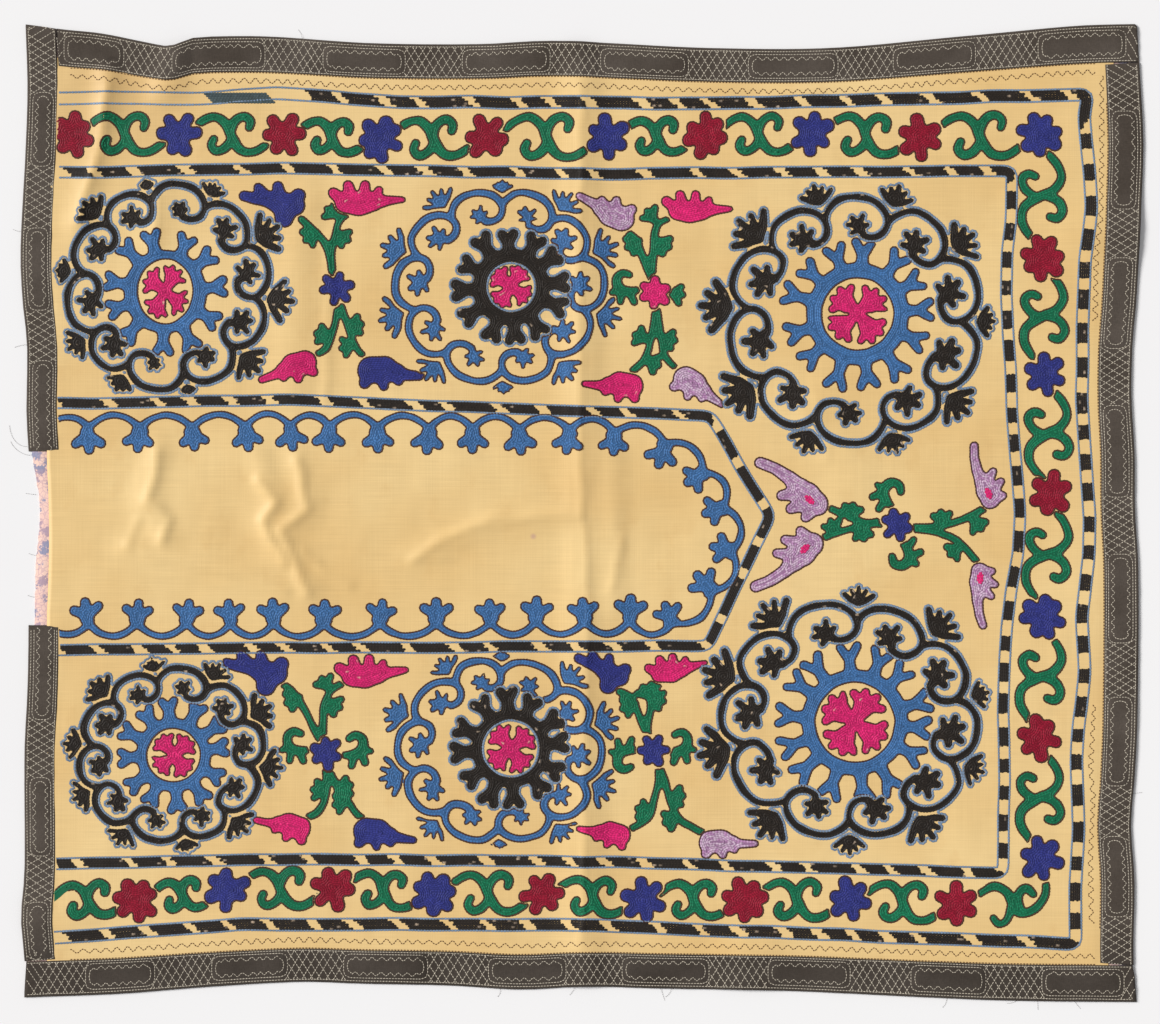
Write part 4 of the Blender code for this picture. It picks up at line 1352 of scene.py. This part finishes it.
class Strip:
    """One strip of binding, with its places along (s) and in from its outer edge (t)."""

    def __init__(self, node, axis, side, pads, outer_ends):
        self.node, self.axis, self.side, self.pads = node, axis, side, pads
        self.surface = Surface(node)
        points = node_mesh(node)[0]
        self.first, self.last = points[:, axis].min() + 0.05, points[:, axis].max() - 0.05
        self.outer_ends = outer_ends
        count = round((self.last - self.first) / 2.4)
        self.s = np.linspace(self.first, self.last, count + 1)
        low, high = reach(node, axis, self.s)
        self.outer, self.inner = (high, low) if side > 0 else (low, high)
        self.width = abs(self.inner - self.outer)
        self.shares = np.concatenate([[0, 0.012, 0.035], np.linspace(0.07, 0.95, 15), [0.975, 1.0]])
        s, t = np.broadcast_arrays(self.s[:, None], self.shares[None, :] * self.width[:, None])
        self.z = np.maximum(self.top(s, t) + self.relief(s, t), LEAST_EDGE)

    def width_at(self, s):
        return np.interp(s, self.s, self.width)

    def has(self, s, margin):
        """Whether places lie on the strip, that far in from its ends."""
        return (s > self.first + margin) & (s < self.last - margin)

    def place(self, s, t):
        """The point at a place along the strip, t in from its outer edge."""
        across = np.interp(s, self.s, self.outer) - self.side * t
        return (s, across) if self.axis == 0 else (across, s)

    def top(self, s, t):
        """The solid's own top, read a little inside its edges."""
        width = self.width_at(s)
        held = np.clip(t, np.minimum(1.6, width / 2), np.maximum(width - 1.0, width / 2))
        x, y = self.place(np.clip(s, self.first + 2, self.last - 2), held)
        return self.surface.heights(x, y)

    def pad_distance(self, s, t):
        """Distance to the nearest quilted pad's outline, less than 0 inside it."""
        width = self.width_at(s)
        best = np.full(np.shape(s), 99.0)
        middle_t = (PAD_FROM_OUTER + width - PAD_FROM_INNER) / 2
        half_t = (width - PAD_FROM_INNER - PAD_FROM_OUTER) / 2
        for start, end in self.pads:
            away_s = abs(s - (start + end) / 2) - (end - start) / 2 + PAD_CORNER
            away_t = abs(t - middle_t) - half_t + PAD_CORNER
            outside = np.hypot(np.maximum(away_s, 0), np.maximum(away_t, 0))
            best = np.minimum(best, outside + np.minimum(np.maximum(away_s, away_t), 0) - PAD_CORNER)
        return best

    def relief(self, s, t):
        """Rolled edges, stitched lines drawn in and cloth puffed up between them."""
        width = self.width_at(s)
        pad = self.pad_distance(s, t)
        lines = np.minimum(abs(t - OUTER_LINE), abs(width - INNER_LINE - t))
        lines = np.minimum(lines, abs(pad))
        spacing = LATTICE_SPACING * 0.85
        slants = [abs((s + way * LATTICE_SLANT * t) / LATTICE_SPACING % 1 - 0.5) for way in (-1, 1)]
        lattice = np.minimum(*[spacing * (0.5 - slant) for slant in slants])
        in_lattice = (pad > 0.5) & (t > OUTER_LINE) & (t < width - INNER_LINE)
        lines = np.where(in_lattice, np.minimum(lines, lattice), lines)
        height = -0.42 * np.exp(-((lines / 1.2) ** 2))
        height += 0.25 * np.clip(-pad / 6, 0, 1) + 0.16 * soft_noise(s, t, 14, 10, 31)
        ends = np.full(np.shape(s), 99.0)
        for end, edge in zip(self.outer_ends, (self.first, self.last)):
            if end:
                ends = np.minimum(ends, abs(s - edge))
        for away, roll, drop in ((np.minimum(t, ends), 2.2, 1.9), (width - t, 1.4, 0.75)):
            near = np.clip(1 - away / roll, 0, 1)
            height -= drop * (1 - np.sqrt(1 - np.minimum(near, 1) ** 2))
        return height

    def height(self, s, t):
        """Height of the finished strip at places, from its own grid."""
        rows, columns = self.z.shape
        row = np.clip(np.interp(s, self.s, np.arange(rows)), 0, rows - 1.001)
        column = np.interp(t / self.width_at(s), self.shares, np.arange(columns))
        column = np.clip(column, 0, columns - 1.001)
        i, j = row.astype(int), column.astype(int)
        return blended(self.z.T, j, i, column - j, row - i)

    def underside(self, s, t):
        """Height of the solid's underside at places along the strip."""
        x, y = self.place(s, t)
        return self.surface.heights(x[None], y[None], 1)[0]

    def build(self, material):
        """The strip's cloth: its top, and under it the silk's edge, the lining and the turned-down lip."""
        count = len(self.s)
        t = self.shares[None, :] * self.width[:, None]
        x, y = self.place(np.broadcast_to(self.s[:, None], t.shape), t)
        upper = np.stack([x, y, self.z], -1)
        under_t = np.column_stack([
            self.width, np.maximum(self.width - 15, 0.6 * self.width),
            np.maximum(self.width - 17, 0.55 * self.width), np.minimum(2.2, 0.3 * self.width),
            np.minimum(1.8, 0.2 * self.width), np.zeros(count),
        ])
        x, y = self.place(np.broadcast_to(self.s[:, None], under_t.shape), under_t)
        held = np.clip(self.s, self.first + 2, self.last - 2)
        lip = self.underside(held, np.full(count, 1.0)) + 0.05
        body = self.underside(held, self.width_at(held) / 2) - 0.15
        silk = ground.read(x[:, :2], y[:, :2]) + 0.05
        z = np.column_stack([silk, body, body, lip, lip])
        z[:, :2] = np.minimum(z[:, :2], self.z[:, -1:] - 0.15)
        lower = np.stack([x, y, z], -1)
        rings = np.concatenate([upper, lower], 1)
        ring = rings.shape[1]
        faces = grid_faces(count, ring, closed=True)
        faces = faces if (self.side > 0) != (self.axis == 0) else faces[:, ::-1]
        caps = np.array([np.arange(ring)[::-1], (count - 1) * ring + np.arange(ring)])
        points = rings.reshape(-1, 3)
        strip = build_mesh(self.node + "_cloth", points, [faces, caps], material)
        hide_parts(self.node)
        return strip


# The corners of a spindle's four sides: 0 and 4 are its ends, 1 and 2 its flanks and 3 its ridge
SPINDLE_SIDES = ((0, 3, 1), (0, 2, 3), (4, 1, 3), (4, 3, 2))


class Thread(Gathered):
    """Machine stitches, each a short spindle of thread."""

    def run(self, x, y, z, half=0.46, dash=DASH, filled_share=1.0, rise=0.4):
        """Stitches along a path of points."""
        path = np.column_stack([x, y, z])
        steps = lengths_along(path)
        count = max(1, round(steps[-1] / dash))
        starts = np.arange(count) * steps[-1] / count
        ends = starts + filled_share * steps[-1] / count
        parts = (starts, (starts + ends) / 2, ends)
        begin, middle, end = (spots_on(path, steps, places) for places in parts)
        side = np.column_stack([left_of((end - begin)[:, :2]), np.zeros(count)]) * half
        up, sunk = np.array([0, 0, rise]), np.array([0, 0, -0.12])
        corners = np.stack([begin + sunk, middle + side, middle - side, middle + up, end + sunk], 1)
        first = 5 * np.arange(count)[:, None]
        faces = np.concatenate([first + np.array(side) for side in SPINDLE_SIDES])
        tone = self.rng.uniform(0.85, 1.1, count).repeat(5)
        self.add(corners.reshape(-1, 3), faces, np.column_stack([tone, np.zeros(len(tone))]))


def along_strip(thread, strip, s, t, **options):
    """Machine stitches at places given in a strip's own terms."""
    s, t = np.asarray(s, float), np.asarray(t, float)
    x, y = strip.place(s, t)
    thread.run(x, y, strip.height(s, t) + 0.12, **options)


def sew_lines(thread, strip):
    """The straight lines beside the strip's two edges."""
    start = strip.first + (OUTER_LINE if strip.outer_ends[0] else BARE_END)
    end = strip.last - (OUTER_LINE if strip.outer_ends[1] else BARE_END)
    s = np.arange(start, end, 3.0)
    along_strip(thread, strip, s, OUTER_LINE + 0.25 * line_noise(s, 30, 41))
    along_strip(thread, strip, s, strip.width_at(s) - INNER_LINE + 0.2 * line_noise(s, 30, 42))


def sew_end(thread, strip, edge, sign, half, middle, dash):
    """A line across the end of a pad. half holds places back from that end and in from the pad's side."""
    inner = strip.width_at(edge) - PAD_FROM_INNER
    there = [(edge - sign * back, PAD_FROM_OUTER + inset) for back, inset in half]
    here = [(edge - sign * back, inner - inset) for back, inset in half]
    along_strip(thread, strip, *zip(*there, *middle, *here[::-1]), dash=dash)


def sew_pad_waves(thread, strip, low, high, wobble):
    """The waves along a pad's two long sides."""
    s = np.arange(max(low + 9, strip.first + 1), min(high - 9, strip.last - 1), 1.3)
    for side_t, sign in ((np.full(len(s), PAD_FROM_OUTER), 1), (strip.width_at(s) - PAD_FROM_INNER, -1)):
        turn = 2 * math.pi * (s + 2.2 * line_noise(s, 16, 43)) / WAVE_LENGTH
        wave = WAVE_HEIGHT * np.sin(turn + wobble.uniform(0, 6))
        along_strip(thread, strip, s, side_t + sign * WAVE_INSET + wave, dash=2.9)


def sew_pad(thread, strip, low, high, wobble):
    """The round of a pad and the waves inside it."""
    low, high = max(low, strip.first - 20), min(high, strip.last + 20)
    s = np.linspace(low + PAD_CORNER, high - PAD_CORNER, 24)
    s = s[strip.has(s, BARE_END)]
    if len(s) < 4:
        return
    along_strip(thread, strip, s, np.full(len(s), PAD_FROM_OUTER))
    along_strip(thread, strip, s, strip.width_at(s) - PAD_FROM_INNER)
    ends = [(edge, sign) for edge, sign in ((high, 1), (low, -1)) if strip.has(edge, 1)]
    for edge, sign in ends:
        sew_end(thread, strip, edge, sign, PAD_END, (), DASH)
    sew_pad_waves(thread, strip, low, high, wobble)
    for edge, sign in ends:
        middle = (edge - sign * 4, strip.width_at(edge) / 2 + 1)
        sew_end(thread, strip, edge, sign, WAVE_END, (middle,), 3.0)


def sew_lattice(thread, strip, wobble):
    """Slanting lines, both ways, between the pads."""
    for way in (-1, 1):
        slant = LATTICE_SLANT + 0.03 * way
        first = math.floor((strip.first - 40) / LATTICE_SPACING)
        last = math.ceil((strip.last + 40) / LATTICE_SPACING)
        for k in range(first, last):
            start = (k + 0.5) * LATTICE_SPACING + wobble.uniform(-0.7, 0.7)
            t = np.linspace(OUTER_LINE, strip.width_at(start) - INNER_LINE, 16)
            s = start - way * slant * t
            kept = strip.has(s, 2)
            if kept.sum() < 3:
                continue
            s, t = s[kept], np.minimum(t[kept], strip.width_at(s[kept]) - INNER_LINE)
            for run in runs_of(strip.pad_distance(s, t) > 0.4):
                along_strip(thread, strip, s[run], t[run], dash=3.3)


def stitch_strip(thread, strip):
    """The lines along a strip, the rounds and waves of its pads and the lattices between them."""
    wobble = np.random.default_rng(len(strip.node))
    sew_lines(thread, strip)
    for low, high in strip.pads:
        sew_pad(thread, strip, low, high, wobble)
    sew_lattice(thread, strip, wobble)


def silk_line(inset):
    """Lines along the silk's top, right and bottom edges, that far in from the binding."""
    x, y = np.arange(-548, 552, 2.2), np.arange(-445, 440, 2.2)
    top = np.column_stack([x, np.interp(x, LIMIT_X, SHOWN_TOP) - inset])
    right = np.column_stack([np.interp(y, LIMIT_Y, SHOWN_RIGHT) - inset, y])
    bottom = np.column_stack([x, np.interp(x, LIMIT_X, SHOWN_BOTTOM) + inset])
    return top, right, bottom


def sew_waves(thread):
    """The brown wave that holds the silk along three sides."""
    top, _, bottom = silk_line(WAVE_FROM_BINDING)
    for k, line in enumerate((top, bottom, *(np.array(run, float) for run in RIGHT_WAVES))):
        along = lengths_along(line)
        places = np.arange(0, along[-1], 1.4)
        spots = spots_on(line, along, places)
        turn = 2 * math.pi * (places + 2.0 * line_noise(places, 25, 50 + k)) / BROWN_WAVE_LENGTH
        swing = BROWN_WAVE * (1 + 0.25 * line_noise(places, 20, 44)) * np.sin(turn)
        spots = offset_line(relaxed(spots, False, 20), swing[:, None])
        thread.run(*spots.T, ground.read(*spots.T) + 0.25, half=0.68, dash=3.0)


def sew_seams_with_painted_shade(thread):
    """Dark stitches right beside the binding: partly a brown seam, partly painted shade where the binding
    meets the silk.
    """
    for line in silk_line(0.7):
        thread.run(*line.T, ground.read(*line.T) + 0.15, half=0.65, dash=3.4, filled_share=0.95, rise=0.3)


def build_lining():
    """The printed lining, flat on the surface, with its frayed edge where it shows."""
    low_x, high_x = (side[0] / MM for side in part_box("lining_panel"))
    along_x = np.linspace(low_x + 12, high_x - 12, 160)
    bottom, top = reach("lining_panel", 0, along_x)
    fine_y = np.linspace(-505, 505, 320)
    left, right = reach("lining_panel", 1, np.clip(fine_y, -500, 500))
    nominal_y = bottom.mean() + np.linspace(0, 1, LINING_ROWS + 1) * (top.mean() - bottom.mean())
    at_opening = (nominal_y > OPENING[0]) & (nominal_y < OPENING[1])
    frayed = np.where(at_opening, 0.7 * line_noise(nominal_y, 3.1, 61) + 0.3, LINING_INSET)
    left_x = np.interp(nominal_y, fine_y, left) + frayed
    right_x = np.interp(nominal_y, fine_y, right) - LINING_INSET
    x, y = spread(left_x, right_x, LINING_COLUMNS, along_x, bottom, top, LINING_INSET)
    lift = 0.125 * (1 + soft_noise(x, y, 60, 40, 62))
    upper = np.column_stack([x.ravel(), y.ravel(), np.full(x.size, LINING_TOP)])
    lower = np.column_stack([x.ravel(), y.ravel(), lift.ravel()])
    height, width = x.shape
    faces_up = grid_faces(height, width)
    faces_down = grid_faces(height, width, height * width)[:, ::-1]
    rim = np.concatenate([
        np.arange(width), np.arange(1, height) * width + width - 1,
        (height - 1) * width + np.arange(width - 2, -1, -1), np.arange(height - 2, 0, -1) * width,
    ])
    after = np.roll(rim, -1)
    walls = np.column_stack([rim, rim + height * width, after + height * width, after])
    faces = [faces_up, faces_down, walls]
    points = np.concatenate([upper, lower])
    lining = build_mesh("lining_cloth", points, faces, print_finish())
    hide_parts("lining_panel")
    return lining


# The stage, in metres: the floor, the key light's way and strength, and the camera over the photo's middle
FLOOR_HALF = 9.0
FLOOR_LEVEL = -0.0002
KEY_WAY = (3.0, -0.9, -2.3)
KEY_STRENGTH = 3.75
KEY_SPREAD = 24
SKY_STRENGTH = 0.37
PHOTO_WIDTH = 1.2412
PHOTO_MIDDLE = (-0.0021, 0.0011)
CAMERA_HEIGHT = 3.2
CLOTH_LEVEL = 0.0025

# Loose ends: where each leaves the edge, which way it lies and how long it is
LOOSE_ENDS = (
    (-593, 71, 178, 34), (-592, 62, 184, 27), (-598, 301, 178, 12), (-598, 180, 183, 10),
    (-446, -496, -80, 16), (-426, -498, -60, 12), (-88, -507, -75, 12), (-8, -508, -100, 11),
    (84, -509, -70, 14), (96, -509, -110, 12), (390, -517, -70, 14), (469, -519, -120, 16),
    (487, -520, -80, 13), (527, -521, -65, 12), (560, 512, 95, 9), (-300, 511, 100, 8),
    (592, -300, 8, 8), (-586, -90, 190, 9), (-588, 20, 176, 8), (-587, -45, 170, 7),
)


def build_loose_ends(material):
    """Ends of thread that have come loose along the edges, lying on the surface."""
    order = np.random.default_rng(71)
    ends = Thread(72)
    for x, y, heading, length in LOOSE_ENDS:
        turn = math.radians(heading)
        path = [(x - 4 * math.cos(turn), y - 4 * math.sin(turn), 0.9)]
        bend = order.uniform(-0.16, 0.16)
        for step in range(int(length / 2) + 1):
            path.append((x, y, max(0.3, 1.0 - 0.3 * step)))
            turn += bend + order.uniform(-0.12, 0.12)
            x, y = x + 2 * math.cos(turn), y + 2 * math.sin(turn)
        for start, end in zip(path, path[1:]):
            ends.run(*zip(start, end), half=0.22, dash=2.0, filled_share=1.12, rise=0.3)
    return ends.build("loose_ends", material, "cream_thread")


def build_stage():
    mesh = bpy.data.meshes.new("floor")
    corners = [(x * FLOOR_HALF, y * FLOOR_HALF, 0) for x, y in ((-1, -1), (1, -1), (1, 1), (-1, 1))]
    mesh.from_pydata(corners, [], [(0, 1, 2, 3)])
    finish = Finish("pale_floor", 0.9, specular=0.1)
    shade = finish.noise((900, 900, 900), 1.0)
    finish.colour(finish.mix(finish.ramp(shade, 0.3, 0.7), (0.845, 0.835, 0.840), (0.855, 0.848, 0.850)))
    mesh.materials.append(finish.material)
    floor = add_object("floor", mesh)
    floor.location.z = FLOOR_LEVEL


def build_lights():
    """A broad, even light from the upper left and a pale room round it."""
    key = bpy.data.lights.new("key", "SUN")
    key.energy = KEY_STRENGTH
    key.angle = math.radians(KEY_SPREAD)
    key.color = (1.0, 0.99, 0.975)
    add_object("key", key).rotation_euler = Vector(KEY_WAY).to_track_quat("-Z", "Y").to_euler()
    world = bpy.data.worlds.new("room")
    world.use_nodes = True
    sky = world.node_tree.nodes["Background"]
    sky.inputs["Color"].default_value = (0.97, 0.98, 1.0, 1.0)
    sky.inputs["Strength"].default_value = SKY_STRENGTH
    bpy.context.scene.world = world


def build_camera():
    """Straight above the cloth, framed as the photograph is."""
    camera = bpy.data.cameras.new("camera")
    camera.sensor_width = 36.0
    camera.lens = camera.sensor_width * (CAMERA_HEIGHT - CLOTH_LEVEL) / PHOTO_WIDTH
    camera.clip_end = 50.0
    made = add_object("camera", camera)
    made.location = (*PHOTO_MIDDLE, CAMERA_HEIGHT)
    bpy.context.scene.camera = made
    bpy.context.scene.view_settings.view_transform = "Standard"


def main():
    silk = build_silk()
    embroidery = build_embroidery()
    lining = build_lining()
    cotton = cotton_finish()
    strips = (
        Strip("binding_top", 0, 1, TOP_PADS, (False, True)),
        Strip("binding_bottom", 0, -1, BOTTOM_PADS, (True, True)),
        Strip("binding_right", 1, 1, RIGHT_PADS, (False, False)),
        Strip("binding_left_upper", 1, -1, LEFT_UPPER_PADS, (True, True)),
        Strip("binding_left_lower", 1, -1, LEFT_LOWER_PADS, (False, True)),
    )
    cream, brown = Thread(81), Thread(82)
    for strip in strips:
        cloth = strip.build(cotton)
        stitch_strip(cream, strip)
    sew_waves(brown)
    # Dark stitches beside the binding: brown seam thread that also paints the shade along the binding's edge
    sew_seams_with_painted_shade(brown)
    cream_finish = thread_finish("cream_thread", CREAM_MACHINE)
    brown_finish = thread_finish("brown_machine_thread", BROWN_MACHINE)
    cream.build("machine_stitching", cream_finish, "cream_thread")
    on_silk = [*embroidery, brown.build("brown_stitching", brown_finish, "brown_thread")]
    build_loose_ends(thread_finish("loose_thread", LOOSE_THREAD))
    build_stage()
    build_lights()
    build_camera()


main()
